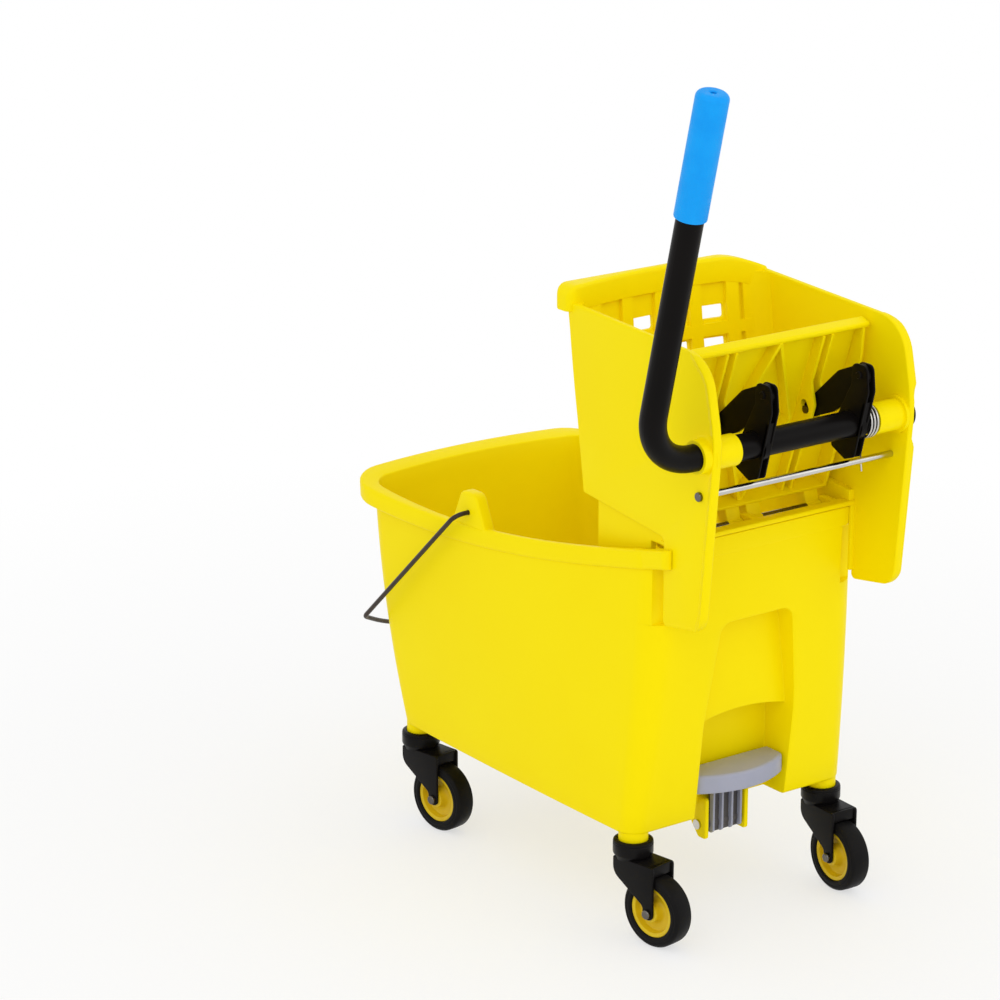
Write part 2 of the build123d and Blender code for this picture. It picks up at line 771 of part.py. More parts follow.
def hook_beam():
    under = rim_z(rim_back_x) + seat_gap
    front = brim_rear - wall - hook_gap - hook_t
    back = rim_back_x + seat_gap
    top = block(front, back, -basket_half, basket_half, under, under + beam_t)
    hook = block(front, front + hook_t, -hook_half, hook_half, brim_z - hook_drop, under + beam_t)
    lug_face = make_face(Polyline(
        (front + hook_t / 2, hinge_z - hinge_lug_d / 2), (hinge_x, hinge_z - hinge_lug_d / 2),
        (hinge_x, hinge_z + hinge_lug_d / 2), (front + hook_t / 2, under + beam_t), close=True))
    lugs = None
    for y in (-hinge_lug_y, 0, hinge_lug_y):
        lug = slab(lug_face, y - hinge_lug_t / 2, y + hinge_lug_t / 2)
        lug = lug + rod((hinge_x, y - hinge_lug_t / 2, hinge_z), (0, 1, 0), hinge_lug_d / 2, hinge_lug_t)
        lugs = lug if lugs is None else lugs + lug
    # A panel inside each side plate that closes the gap down to the rim.
    fore, low = hinge_x - gusset_fore, under - gusset_drop
    gusset_face = make_face(Polyline(
        (fore, low), (hinge_x - gusset_drop, low), (hinge_x, under), (front + hook_t, under),
        (front + hook_t, brim_z + plate_hang_rise + beam_t),
        (fore, basket_floor_z + basket_floor_t / 2), close=True))
    gusset = slab(gusset_face, basket_half - gusset_t, basket_half)
    return top + hook + lugs + both_sides(gusset)


def wringer_basket():
    boss = rod((shaft_x, -plate_outer, shaft_z), (0, -1, 0), boss_d / 2, boss_h)
    plates = side_plate(collar_ring_d * 0.7) + mirror(side_plate(0), about=Plane.XZ)
    solid = plates + boss + front_wall() + hook_beam()
    floor_front = shaft_x - front_foot_lead + floor_bite
    floor_plate = block(floor_front, floor_front + basket_floor_len, -basket_half, basket_half,
                        basket_floor_z, basket_floor_z + basket_floor_t)
    columns = int(2 * (basket_half - weep_pitch / 2) // weep_pitch)
    weeps = GridLocations(weep_pitch, weep_pitch, 2, columns)
    middle = floor_front + basket_floor_len / 2
    rounds = Sketch() + [place * Circle(weep_d / 2) for place in weeps]
    holes = Pos(middle, 0, basket_floor_z) * extrude(rounds, basket_floor_t)
    solid = solid + (floor_plate - holes)
    seat = plate_outer + boss_h
    solid = solid - rod((shaft_x, -seat, shaft_z), (0, 1, 0), bushing_d / 2, 2 * seat)
    solid = solid - rod((tie_x, -plate_outer, tie_z), (0, 1, 0), tie_d / 2, 2 * plate_outer)
    half = hinge_lug_y + hinge_lug_t / 2
    return solid - rod((hinge_x, -half, hinge_z), (0, 1, 0), hinge_d / 2, 2 * half)


def bushing_near():
    outer = -(plate_outer + boss_h)
    length = boss_h + plate_t + bushing_near_len
    return pipe((shaft_x, outer, shaft_z), (0, 1, 0), bushing_d / 2, shaft_r + run_fit, length)


def bushing_far():
    length = plate_t + bushing_far_len
    inner = basket_half - bushing_far_len
    sleeve = pipe((shaft_x, inner, shaft_z), (0, 1, 0), bushing_d / 2, shaft_r + run_fit, length)
    ring_at = (shaft_x, basket_half - bushing_collar_t, shaft_z)
    return sleeve + pipe(ring_at, (0, 1, 0), bushing_collar_d / 2, shaft_r + run_fit, bushing_collar_t)


def tie_rod():
    half = plate_outer + cap_h / 2
    return rod((tie_x, -half, tie_z), (0, 1, 0), tie_d / 2, 2 * half)


def tie_cap(side):
    face = side * plate_outer
    cap = rod((tie_x, face, tie_z), (0, side, 0), cap_d / 2, cap_h)
    end = cap.edges().sort_by(Axis.Y)[-1 if side > 0 else 0]
    cap = fillet(end, cap_h / 2)
    return cap - rod((tie_x, face, tie_z), (0, side, 0), tie_d / 2, cap_h / 2)


def hinge_rod():
    half = hinge_lug_y + hinge_lug_t / 2
    return rod((hinge_x, -half, hinge_z), (0, 1, 0), hinge_d / 2, 2 * half)


def linkage_turns():
    # The four-bar loop at full travel gives how far the plate and the links have turned.
    travel = math.radians(lever_travel)
    crank = complex(crank_x, crank_z)
    nose = complex(nose_x, nose_z)
    hinge = complex(-hinge_fore_len, -hinge_drop)
    turned_crank = crank * complex(math.cos(travel), math.sin(travel))
    link, swing = abs(nose - crank), abs(nose - hinge)
    reach = abs(turned_crank - hinge)
    unit = (turned_crank - hinge) / reach
    along = (reach ** 2 + swing ** 2 - link ** 2) / (2 * reach)
    off = math.sqrt(swing ** 2 - along ** 2)
    moved = hinge + unit * complex(along, off)
    plate_turn = (moved - hinge) / (nose - hinge)
    link_turn = (moved - turned_crank) / (nose - crank)
    return math.atan2(plate_turn.imag, plate_turn.real), math.atan2(link_turn.imag, link_turn.real)


def slot_reach():
    # Where the nose pin goes in the plate's lugs when all three turn at steady ratios.
    travel = math.radians(lever_travel)
    plate_turn, link_turn = linkage_turns()
    crank = complex(crank_x, crank_z)
    nose = complex(nose_x, nose_z)
    hinge = complex(-hinge_fore_len, -hinge_drop)
    furthest = 0j
    for step in range(21):
        part = step / 20
        turn = travel * part
        tip = crank * complex(math.cos(turn), math.sin(turn))
        swing = link_turn * part
        tip = tip + (nose - crank) * complex(math.cos(swing), math.sin(swing))
        back = -plate_turn * part
        moved = (tip - hinge) * complex(math.cos(back), math.sin(back)) + hinge - nose
        if abs(moved) > abs(furthest):
            furthest = moved
    return furthest.real, furthest.imag


def plate_plane():
    # The press plate's own frame: local x runs up the plate, local y points to the rear.
    lean = math.radians(plate_lean)
    up = (math.sin(lean), 0, math.cos(lean))
    return Plane(origin=(hinge_x, 0, hinge_z), x_dir=up, z_dir=(0, 1, 0))


def to_plate(x, z):
    lean = math.radians(plate_lean)
    along = x * math.sin(lean) + z * math.cos(lean)
    return along, x * math.cos(lean) - z * math.sin(lean)


def plate_slab(face, y_from, y_to):
    return extrude(plate_plane().offset(y_from) * face, y_to - y_from)


def plate_block(up_from, up_to, back_from, back_to, y_from, y_to):
    centre = Pos((up_from + up_to) / 2, (back_from + back_to) / 2)
    return plate_slab(centre * Rectangle(up_to - up_from, back_to - back_from), y_from, y_to)


def press_plate():
    face, skin_back, back = -press_face, press_skin - press_face, -press_back
    top = press_len - press_rim_h
    solid = plate_block(press_foot, press_len, face, skin_back, -press_half, press_half)
    rim_face = outline([(top, face), (press_len, face), (press_len, back), (top, back)],
                       [0, press_rim_h * 0.4, press_rim_h * 0.4, press_rim_h * 0.4])
    solid = solid + plate_slab(rim_face, -press_half, press_half)
    solid = solid + plate_block(press_foot, press_foot + press_rib_t, face, back, -press_half, press_half)
    sides = plate_block(press_foot, press_len - press_rim_h / 2, face, back,
                        press_half - press_rib_t, press_half)
    solid = solid + both_sides(sides)
    rib_back = skin_back + press_rib_depth
    half = press_diamond_half
    middle = (press_foot + top) / 2
    rise = top - middle
    run = math.hypot(rise, half)
    lean = math.degrees(math.atan2(rise, half))
    plate_back = Plane(origin=plate_plane().from_local_coords((0, skin_back - press_skin / 2, 0)),
                       x_dir=(0, 1, 0), z_dir=plate_plane().y_dir)
    for side_y, side_up in ((1, 1), (1, -1), (-1, 1), (-1, -1)):
        bar = Pos(side_y * half / 2, middle + side_up * rise / 2)
        bar = bar * Rot(0, 0, -side_y * side_up * lean) * Rectangle(run, press_rib_t)
        solid = solid + extrude(plate_back * bar, rib_back - skin_back + press_skin / 2)
    nose_up, nose_back = to_plate(nose_x + hinge_fore_len, nose_z + hinge_drop)
    slot_up, slot_back = to_plate(*slot_reach())
    rib_in = link_t / 2 + lug_gap
    lug = plate_block(press_foot, top, skin_back - press_skin / 2, rib_back, -lug_t / 2, lug_t / 2)
    mound = outline(
        [(nose_up - 3 * lug_round, rib_back - 1), (nose_up - lug_round, nose_back + lug_round),
         (nose_up + lug_round, nose_back + lug_round), (nose_up + 3 * lug_round, rib_back - 1)],
        [0, lug_round * 0.7, lug_round * 0.7, 0],
    )
    lug = lug + plate_slab(mound, -lug_t / 2, lug_t / 2)
    for y in (arm_y - rib_in - lug_t / 2, arm_y + rib_in + lug_t / 2):
        solid = solid + both_sides(Pos(0, y, 0) * lug)
    slot_len = math.hypot(slot_up, slot_back)
    slot_turn = math.degrees(math.atan2(slot_back, slot_up))
    slot_at = Pos(nose_up + slot_up / 2, nose_back + slot_back / 2) * Rot(0, 0, slot_turn)
    slot_d = link_pin_d + 2 * slot_gap
    slot_face = slot_at * SlotOverall(slot_len + slot_d, slot_d)
    slot_reach_y = rib_in + lug_t
    solid = solid - both_sides(plate_slab(slot_face, arm_y - slot_reach_y, arm_y + slot_reach_y))
    knuckle_face = make_face(Polyline(
        (0, -knuckle_d / 2), (press_foot + 1, face), (press_foot + 1, back), (0, knuckle_d / 2),
        close=True))
    lug_side = hinge_lug_t / 2 + face_gap
    for y in (lug_side, hinge_lug_y - lug_side - knuckle_w):
        knuckle = plate_slab(knuckle_face, y, y + knuckle_w)
        knuckle = knuckle + rod((hinge_x, y, hinge_z), (0, 1, 0), knuckle_d / 2, knuckle_w)
        solid = solid + both_sides(knuckle)
    return solid - rod((hinge_x, -press_half, hinge_z), (0, 1, 0), hinge_d / 2 + run_fit, 2 * press_half)


def lever_way():
    lean = math.radians(lever_lean)
    return Vector(math.sin(lean), 0, math.cos(lean))


def lever_foot():
    return Vector(shaft_x, -lever_out, shaft_z)


def lever_tube():
    end = Vector(shaft_x, plate_outer + face_gap + collar_ring_t, shaft_z)
    top = lever_foot() + lever_way() * (lever_len - grip_cap)
    path = FilletPolyline(end, lever_foot(), top, radius=lever_bend_r)
    section = Circle(shaft_r) - Circle(shaft_r - tube_wall)
    return sweep(Plane(origin=path @ 0, z_dir=path % 0) * section, path=path)


def grip():
    start = lever_foot() + lever_way() * (lever_len - grip_len)
    sleeve = rod(start, lever_way(), grip_d / 2, grip_len)
    sleeve = chamfer(sleeve.edges().sort_by(Axis.Z)[-1], grip_edge)
    sleeve = sleeve - rod(start, lever_way(), shaft_r, grip_len - grip_cap)
    return sleeve - rod(start, lever_way(), grip_hole_d / 2, grip_len)


def shaft_collar():
    at = (shaft_x, plate_outer + face_gap, shaft_z)
    return pipe(at, (0, 1, 0), collar_ring_d / 2, shaft_r, collar_ring_t)


def rocker_arm(side):
    # Two cheeks on a hub, joined by a web behind. Points are given from the shaft's axis.
    hub_r = arm_hub_d / 2
    cheek = outline(
        [(crank_x - arm_head, crank_z + arm_head), (crank_x + arm_head, crank_z + arm_head),
         (arm_back_x, arm_back_z), (arm_heel_x, arm_heel_z), (arm_toe_x, arm_toe_z),
         (arm_tail_x, arm_tail_z), (arm_front_x, arm_front_z), (crank_x - arm_head, crank_z - arm_head)],
        [arm_head_r, arm_head_r, arm_back_r, arm_heel_r, arm_toe_r, arm_tail_r, arm_front_r,
         arm_front_r],
    )
    web = make_face(Polyline(
        (web_top_x, web_top_z), (web_foot_x, web_foot_z), (web_foot_x - web_t, web_foot_z),
        (web_top_x - web_t, web_top_z), close=True))
    centre = side * arm_y
    place = Pos(shaft_x, 0, shaft_z)
    solid = slab(cheek, centre + cheek_in, centre + cheek_out)
    solid = solid + slab(cheek, centre - cheek_out, centre - cheek_in)
    solid = solid + slab(web, centre - cheek_out, centre + cheek_out)
    solid = place * solid
    solid = solid + rod((shaft_x, centre - cheek_out, shaft_z), (0, 1, 0), hub_r, 2 * cheek_out)
    solid = solid - rod((shaft_x, centre - cheek_out, shaft_z), (0, 1, 0), shaft_r, 2 * cheek_out)
    pin_at = (shaft_x + crank_x, centre - cheek_out, shaft_z + crank_z)
    return solid - rod(pin_at, (0, 1, 0), link_pin_d / 2, 2 * cheek_out)


def crank_rivet(side):
    half = cheek_out + link_pin_out
    at = (shaft_x + crank_x, side * arm_y - half, shaft_z + crank_z)
    pin = rod(at, (0, 1, 0), link_pin_d / 2, 2 * half)
    ends = pin.edges().sort_by(Axis.Y)
    return chamfer([ends[0], ends[-1]], link_pin_out / 2)


def press_link(side):
    # A flat bar from the crank pin to the nose pin, with a full belly below its middle.
    span = math.hypot(crank_x - nose_x, crank_z - nose_z)
    slope = math.degrees(math.atan2(crank_z - nose_z, crank_x - nose_x))
    face = outline(
        [(-link_nose_r, link_nose_r), (-link_nose_r, -link_nose_r), (link_belly_at, -link_belly),
         (span - link_belly_at, -link_belly), (span + link_head_r, -link_head_r),
         (span + link_head_r, link_head_r), (span - link_hump_at, link_hump)],
        [link_nose_r * 0.9, link_nose_r * 0.9, link_belly, link_belly, link_head_r * 0.9, link_head_r * 0.9,
         link_hump],
    )
    face = face - Circle(link_pin_d / 2) - Pos(span, 0) * Circle(link_pin_d / 2 + run_fit)
    face = Pos(shaft_x + nose_x, shaft_z + nose_z) * Rot(0, 0, slope) * face
    centre = side * arm_y
    return slab(face, centre - link_t / 2, centre + link_t / 2)


def nose_pin(side):
    half = link_t / 2 + lug_gap + lug_t + link_pin_out
    at = (shaft_x + nose_x, side * arm_y - half, shaft_z + nose_z)
    return rod(at, (0, 1, 0), link_pin_d / 2, 2 * half)


def biarc(start, way, end, end_way):
    # Two tangent arcs between two points with given directions.
    span = end - start
    both = way + end_way
    spread = 1 - way.dot(end_way)
    ahead = span.dot(both)
    reach = (-ahead + math.sqrt(ahead ** 2 + 2 * spread * span.dot(span))) / (2 * spread)
    first = start + way * reach
    second = end - end_way * reach
    joint = (first + second) * 0.5
    joint_way = (second - first).normalized()
    return [TangentArc(start, joint, tangent=way), TangentArc(joint, end, tangent=joint_way)]


def spring_path():
    # From the leg braced on the tie rod, round the shaft and out to the hook on the far arm.
    brace_x = -(tie_back + tie_d / 2 + wire_d / 2 + face_gap)
    reach = math.hypot(brace_x, tie_drop)
    start_turn = math.atan2(-tie_drop, brace_x) - math.acos(coil_mean_r / reach)
    end_turn = math.radians(leg_exit) - 2 * math.pi * coil_turns
    while start_turn < math.pi:
        start_turn = start_turn + 2 * math.pi
    while start_turn > 2 * math.pi:
        start_turn = start_turn - 2 * math.pi
    total = start_turn - end_turn
    y_start = basket_half - bushing_far_len - wire_d / 2 - coil_end_gap / 2
    y_end = arm_y + cheek_out + wire_d / 2 + coil_end_gap
    slope = (y_end - y_start) / (coil_mean_r * total)
    quarters = 4 * coil_turns + 1
    places = []
    ways = []
    for step in range(quarters + 1):
        part = step / quarters
        turn = start_turn - total * part
        y = y_start + (y_end - y_start) * part
        places.append(Vector(shaft_x + coil_mean_r * math.cos(turn), y,
                             shaft_z + coil_mean_r * math.sin(turn)))
        ways.append(Vector(math.sin(turn), slope, -math.cos(turn)).normalized())
    leg = spring_leg_drop - (shaft_z - places[0].Z)
    edges = [Line(places[0] - ways[0] * leg, places[0])]
    for step in range(quarters):
        edges = edges + biarc(places[step], ways[step], places[step + 1], ways[step + 1])
    corner = places[-1] + ways[-1] * spring_leg_up
    tip = Vector(corner.X, arm_y + cheek_in, corner.Z)
    hook = FilletPolyline(places[-1], corner, tip, radius=spring_hook_r)
    edges = edges + list(hook.edges())
    return Wire([edge.edge() if not isinstance(edge, Edge) else edge for edge in edges])


def torsion_spring():
    path = spring_path()
    count = int(path.length / wire_d * 4)
    points = [path @ (step / count) for step in range(count + 1)]
    apart = int(4 * math.pi * wire_d / (path.length / count))
    least = path.length
    for first in range(0, count + 1):
        for second in range(first + apart, count + 1):
            least = min(least, (points[first] - points[second]).length)
    print("torsion spring: least gap to itself", round(least - wire_d, 2), "mm")
    return sweep(Plane(origin=path @ 0, z_dir=path % 0) * Circle(wire_d / 2), path=path)


def write(name, shape):
    export_step(shape, "parts/" + name + ".step")
    print(name)


def main():
    os.makedirs("parts", exist_ok=True)
    write("bucket_body", bucket_body())
    write("bail", bail())
    write("pedal", pedal())
    write("pedal_pivot_pin", pedal_pivot_pin())
    write("drain_pin", drain_pin())
    write("drain_plug", drain_plug())
    write("plug_seal", plug_seal())
    pieces = {
        "stem": caster_stem(),
        "fork": fork_frame(),
        "axle": caster_axle(),
        "axle_nut": caster_nut(),
        "hub": caster_hub(),
        "tyre": caster_tyre(),
    }
    for place, (x, y, turn) in caster_places().items():
        for name, shape in pieces.items():
            write(name + "_" + place, Pos(x, y, 0) * Rot(0, 0, turn) * shape)
    write("wringer_basket", wringer_basket())
    write("bushing_near", bushing_near())
    write("bushing_far", bushing_far())
    write("tie_rod", tie_rod())
    write("tie_cap_near", tie_cap(-1))
    write("tie_cap_far", tie_cap(1))
    write("hinge_rod", hinge_rod())
    write("press_plate", press_plate())
    write("lever_tube", lever_tube())
    write("grip", grip())
    write("shaft_collar", shaft_collar())
    for label, side in (("near", -1), ("far", 1)):
        write("rocker_arm_" + label, rocker_arm(side))
        write("crank_rivet_" + label, crank_rivet(side))
        write("press_link_" + label, press_link(side))
        write("nose_pin_" + label, nose_pin(side))
    write("torsion_spring", torsion_spring())
    plate_turn, link_turn = linkage_turns()
    travel = math.radians(lever_travel)
    print("plate ratio", round(plate_turn / travel, 5), "link ratio", round(link_turn / travel - 1, 5))
    lift = math.radians(pedal_travel)
    rise = drain_arm * math.sin(lift) - drain_pin_drop * (math.cos(lift) - 1)
    print("plug lift per radian of pedal", round(rise / lift, 3), "mm")


main()
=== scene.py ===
import json
import math

import bmesh
import bpy
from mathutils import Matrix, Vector, geometry, kdtree


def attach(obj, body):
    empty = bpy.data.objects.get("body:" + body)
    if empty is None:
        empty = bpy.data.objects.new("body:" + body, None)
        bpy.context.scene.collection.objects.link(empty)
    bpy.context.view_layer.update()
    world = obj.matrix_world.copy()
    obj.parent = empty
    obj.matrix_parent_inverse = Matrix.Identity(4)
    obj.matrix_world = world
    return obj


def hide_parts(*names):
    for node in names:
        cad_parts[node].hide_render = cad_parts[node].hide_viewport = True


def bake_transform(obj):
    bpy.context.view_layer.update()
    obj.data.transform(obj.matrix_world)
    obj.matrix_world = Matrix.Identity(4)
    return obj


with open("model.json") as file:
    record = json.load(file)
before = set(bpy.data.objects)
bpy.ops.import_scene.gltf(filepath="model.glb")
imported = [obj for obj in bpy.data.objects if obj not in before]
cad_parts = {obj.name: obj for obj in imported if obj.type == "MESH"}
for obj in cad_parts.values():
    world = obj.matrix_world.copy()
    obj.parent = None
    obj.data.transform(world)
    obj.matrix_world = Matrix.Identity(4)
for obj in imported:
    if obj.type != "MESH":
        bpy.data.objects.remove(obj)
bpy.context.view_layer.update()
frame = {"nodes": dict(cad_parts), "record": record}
nodes = frame["nodes"]
slotOf = {row["node"]: row["material_slot"] for row in frame["record"]["subparts"]}
mm = 0.001
print("frame loaded:", len(nodes), "nodes")

# camera, at the photograph's viewing angle
camera = {"place": (2.8373, -2.2213, 1.5334), "azimuth": 53.96, "elevation": 17.51,
          "focalPixels": 3564.8, "imagePixels": 1000, "sensor": 36.0}


def makeCamera(c):
    data = bpy.data.cameras.new("photoCamera")
    data.sensor_fit = "HORIZONTAL"
    data.sensor_width = c["sensor"]
    data.lens = c["focalPixels"] * c["sensor"] / c["imagePixels"]
    data.clip_end = 30
    obj = bpy.data.objects.new("photoCamera", data)
    a, e = math.radians(c["azimuth"]), math.radians(c["elevation"])
    back = Vector((math.sin(a) * math.cos(e), -math.cos(a) * math.cos(e), math.sin(e)))
    obj.location = c["place"]
    obj.rotation_euler = (-back).to_track_quat("-Z", "Y").to_euler()
    bpy.context.scene.collection.objects.link(obj)
    bpy.context.scene.camera = obj


makeCamera(camera)
bpy.context.scene.view_settings.view_transform = "Standard"

# node helpers


def newGroup(name, inputs, outputs):
    tree = bpy.data.node_groups.new(name, "ShaderNodeTree")
    for label, kind, value in inputs:
        socket = tree.interface.new_socket(label, in_out="INPUT", socket_type="NodeSocket" + kind)
        socket.default_value = value
    for label, kind in outputs:
        tree.interface.new_socket(label, in_out="OUTPUT", socket_type="NodeSocket" + kind)
    return tree, tree.nodes.new("NodeGroupInput"), tree.nodes.new("NodeGroupOutput")


def addNode(tree, kind, **settings):
    node = tree.nodes.new("ShaderNode" + kind)
    for key, value in settings.items():
        setattr(node, key, value)
    return node


def wire(tree, source, target):
    tree.links.new(source, target)


def noise(tree, place, scale, detail, rough=0.5):
    node = addNode(tree, "TexNoise")
    wire(tree, place, node.inputs["Vector"])
    node.inputs["Detail"].default_value = detail
    node.inputs["Roughness"].default_value = rough
    if isinstance(scale, (int, float)):
        node.inputs["Scale"].default_value = scale
    else:
        wire(tree, scale, node.inputs["Scale"])
    return node.outputs["Fac"]


def ramp(tree, value, low, high, lowOut, highOut):
    node = addNode(tree, "MapRange")
    wire(tree, value, node.inputs["Value"])
    for label, number in (("From Min", low), ("From Max", high), ("To Min", lowOut), ("To Max", highOut)):
        if isinstance(number, (int, float)):
            node.inputs[label].default_value = number
        else:
            wire(tree, number, node.inputs[label])
    return node.outputs["Result"]


def mixColour(tree, factor, first, second):
    node = addNode(tree, "Mix", data_type="RGBA")
    wire(tree, factor, node.inputs["Factor"])
    wire(tree, first, node.inputs[6])
    wire(tree, second, node.inputs[7])
    return node.outputs[2]


def mathNode(tree, operation, first, second):
    node = addNode(tree, "Math", operation=operation)
    for socket, value in zip(node.inputs, (first, second)):
        if isinstance(value, (int, float)):
            socket.default_value = value
        else:
            wire(tree, value, socket)
    return node.outputs["Value"]


# the skin of a moulded or coated surface: cloudy colour, fine grain and faint scuffs
def surfaceGroup():
    tree, start, end = newGroup(
        "mouldedSkin",
        [("Colour", "Color", (1, 1, 1, 1)), ("Cloud Colour", "Color", (1, 1, 1, 1)),
         ("Cloud Scale", "Float", 9), ("Grain Scale", "Float", 900), ("Grain Depth", "Float", 0.3),
         ("Smooth Gloss", "Float", 0.3), ("Rough Gloss", "Float", 0.45), ("Scuff", "Float", 0.2)],
        [("Colour", "Color"), ("Roughness", "Float"), ("Height", "Float")])
    place = addNode(tree, "TexCoord").outputs["Object"]
    cloud = noise(tree, place, start.outputs["Cloud Scale"], 4)
    cloudMask = ramp(tree, cloud, 0.35, 0.7, 0, 1)
    tint = mixColour(tree, cloudMask, start.outputs["Colour"], start.outputs["Cloud Colour"])
    grain = noise(tree, place, start.outputs["Grain Scale"], 2, 0.6)
    stretch = addNode(tree, "Mapping")
    stretch.inputs["Scale"].default_value = (1, 1, 0.14)
    stretch.inputs["Rotation"].default_value = (0.5, 0.3, 0.8)
    wire(tree, place, stretch.inputs["Vector"])
    scratch = noise(tree, stretch.outputs["Vector"], 160, 5, 0.7)
    scratchMask = ramp(tree, scratch, 0.62, 0.74, 0, start.outputs["Scuff"])
    gloss = ramp(tree, cloud, 0.3, 0.75, start.outputs["Smooth Gloss"], start.outputs["Rough Gloss"])
    gloss = mathNode(tree, "ADD", gloss, mathNode(tree, "MULTIPLY", scratchMask, 0.35))
    height = mathNode(tree, "MULTIPLY", grain, start.outputs["Grain Depth"])
    height = mathNode(tree, "SUBTRACT", height, mathNode(tree, "MULTIPLY", scratchMask, 0.25))
    wire(tree, tint, end.inputs["Colour"])
    wire(tree, gloss, end.inputs["Roughness"])
    wire(tree, height, end.inputs["Height"])
    return tree


skinGroup = surfaceGroup()


def rgb(red, green, blue):
    def linear(value):
        value = value / 255
        return value / 12.92 if value <= 0.04045 else ((value + 0.055) / 1.055) ** 2.4
    return (linear(red), linear(green), linear(blue), 1)


def skinMaterial(name, look):
    material = bpy.data.materials.new(name)
    material.use_nodes = True
    tree = material.node_tree
    shader = tree.nodes["Principled BSDF"]
    skin = tree.nodes.new("ShaderNodeGroup")
    skin.node_tree = skinGroup
    for label, key in (("Colour", "colour"), ("Cloud Colour", "cloudColour"), ("Cloud Scale", "cloudScale"),
                       ("Grain Scale", "grainScale"), ("Grain Depth", "grainDepth"),
                       ("Smooth Gloss", "smoothGloss"), ("Rough Gloss", "roughGloss"), ("Scuff", "scuff")):
        skin.inputs[label].default_value = look[key]
    wire(tree, skin.outputs["Colour"], shader.inputs["Base Color"])
    wire(tree, skin.outputs["Roughness"], shader.inputs["Roughness"])
    bump = addNode(tree, "Bump")
    bump.inputs["Strength"].default_value = look["bump"]
    bump.inputs["Distance"].default_value = look["bumpDepth"]
    wire(tree, skin.outputs["Height"], bump.inputs["Height"])
    wire(tree, bump.outputs["Normal"], shader.inputs["Normal"])
    shader.inputs["Metallic"].default_value = look.get("metallic", 0)
    shader.inputs["Specular IOR Level"].default_value = look.get("specular", 0.3)
    return material


looks = {
    "yellow_plastic": {"colour": rgb(255, 233, 0), "cloudColour": rgb(254, 230, 0), "cloudScale": 6,
                       "grainScale": 1400, "grainDepth": 0.35, "smoothGloss": 0.36, "roughGloss": 0.46,
                       "scuff": 0.1, "bump": 0.12, "bumpDepth": 0.0004, "specular": 0.06},
    "dark_wire": {"colour": rgb(44, 34, 30), "cloudColour": rgb(62, 50, 42), "cloudScale": 40,
                  "grainScale": 1800, "grainDepth": 0.4, "smoothGloss": 0.3, "roughGloss": 0.45,
                  "scuff": 0.5, "bump": 0.2, "bumpDepth": 0.0002, "specular": 0.25},
    "grey_plastic": {"colour": rgb(166, 168, 186), "cloudColour": rgb(158, 161, 178), "cloudScale": 18,
                     "grainScale": 1500, "grainDepth": 0.5, "smoothGloss": 0.34, "roughGloss": 0.46,
                     "scuff": 0.2, "bump": 0.2, "bumpDepth": 0.0004, "specular": 0.35},
    "steel": {"colour": rgb(205, 203, 198), "cloudColour": rgb(186, 184, 180), "cloudScale": 30,
              "grainScale": 1200, "grainDepth": 0.2, "smoothGloss": 0.14, "roughGloss": 0.26,
              "scuff": 0.5, "bump": 0.1, "bumpDepth": 0.0002, "metallic": 1},
    "dark_steel": {"colour": rgb(112, 108, 104), "cloudColour": rgb(90, 86, 84), "cloudScale": 30,
                   "grainScale": 1200, "grainDepth": 0.2, "smoothGloss": 0.2, "roughGloss": 0.34,
                   "scuff": 0.4, "bump": 0.1, "bumpDepth": 0.0002, "metallic": 1},
    "seal_rubber": {"colour": rgb(36, 34, 34), "cloudColour": rgb(44, 42, 41), "cloudScale": 40,
                    "grainScale": 1600, "grainDepth": 0.6, "smoothGloss": 0.6, "roughGloss": 0.75,
                    "scuff": 0.1, "bump": 0.3, "bumpDepth": 0.0003},
    "black_metal": {"colour": rgb(13, 11, 10), "cloudColour": rgb(17, 14, 13), "cloudScale": 14,
                    "grainScale": 1500, "grainDepth": 0.6, "smoothGloss": 0.3, "roughGloss": 0.4,
                    "scuff": 0.2, "bump": 0.2, "bumpDepth": 0.0003, "specular": 0.07},
    "blue_grip": {"colour": rgb(14, 164, 251), "cloudColour": rgb(10, 157, 247), "cloudScale": 60,
                  "grainScale": 850, "grainDepth": 1.0, "smoothGloss": 0.4, "roughGloss": 0.52,
                  "scuff": 0.05, "bump": 0.5, "bumpDepth": 0.0008, "specular": 0.14},
    "black_plastic": {"colour": rgb(15, 14, 14), "cloudColour": rgb(20, 18, 18), "cloudScale": 22,
                      "grainScale": 1300, "grainDepth": 0.6, "smoothGloss": 0.26, "roughGloss": 0.38,
                      "scuff": 0.15, "bump": 0.2, "bumpDepth": 0.0004, "specular": 0.09},
    "hub_yellow": {"colour": rgb(226, 194, 18), "cloudColour": rgb(212, 176, 14), "cloudScale": 40,
                   "grainScale": 1500, "grainDepth": 0.4, "smoothGloss": 0.34, "roughGloss": 0.48,
                   "scuff": 0.25, "bump": 0.2, "bumpDepth": 0.0004, "specular": 0.3},
    "tyre": {"colour": rgb(16, 15, 15), "cloudColour": rgb(22, 21, 21), "cloudScale": 30,
             "grainScale": 1100, "grainDepth": 0.9, "smoothGloss": 0.42, "roughGloss": 0.6,
             "scuff": 0.3, "bump": 0.3, "bumpDepth": 0.0005, "specular": 0.09},
}
finishes = {name: skinMaterial(name, look) for name, look in looks.items()}
print("materials made:", len(finishes))

# shape helpers, in millimetres: a shape gathers points, faces and the edges to be softened


def newShape():
    return {"points": [], "faces": [], "soft": []}


def addGrid(shape, rows, closed=False, skip=None):
    start = len(shape["points"])
    count = len(rows[0])
    for row in rows:
        shape["points"].extend(row)
    for r in range(len(rows) - 1):
        for c in range(count if closed else count - 1):
            if skip and skip(r, c):
                continue
            low = start + r * count
            d = (c + 1) % count
            shape["faces"].append((low + c, low + d, low + count + d, low + count + c))


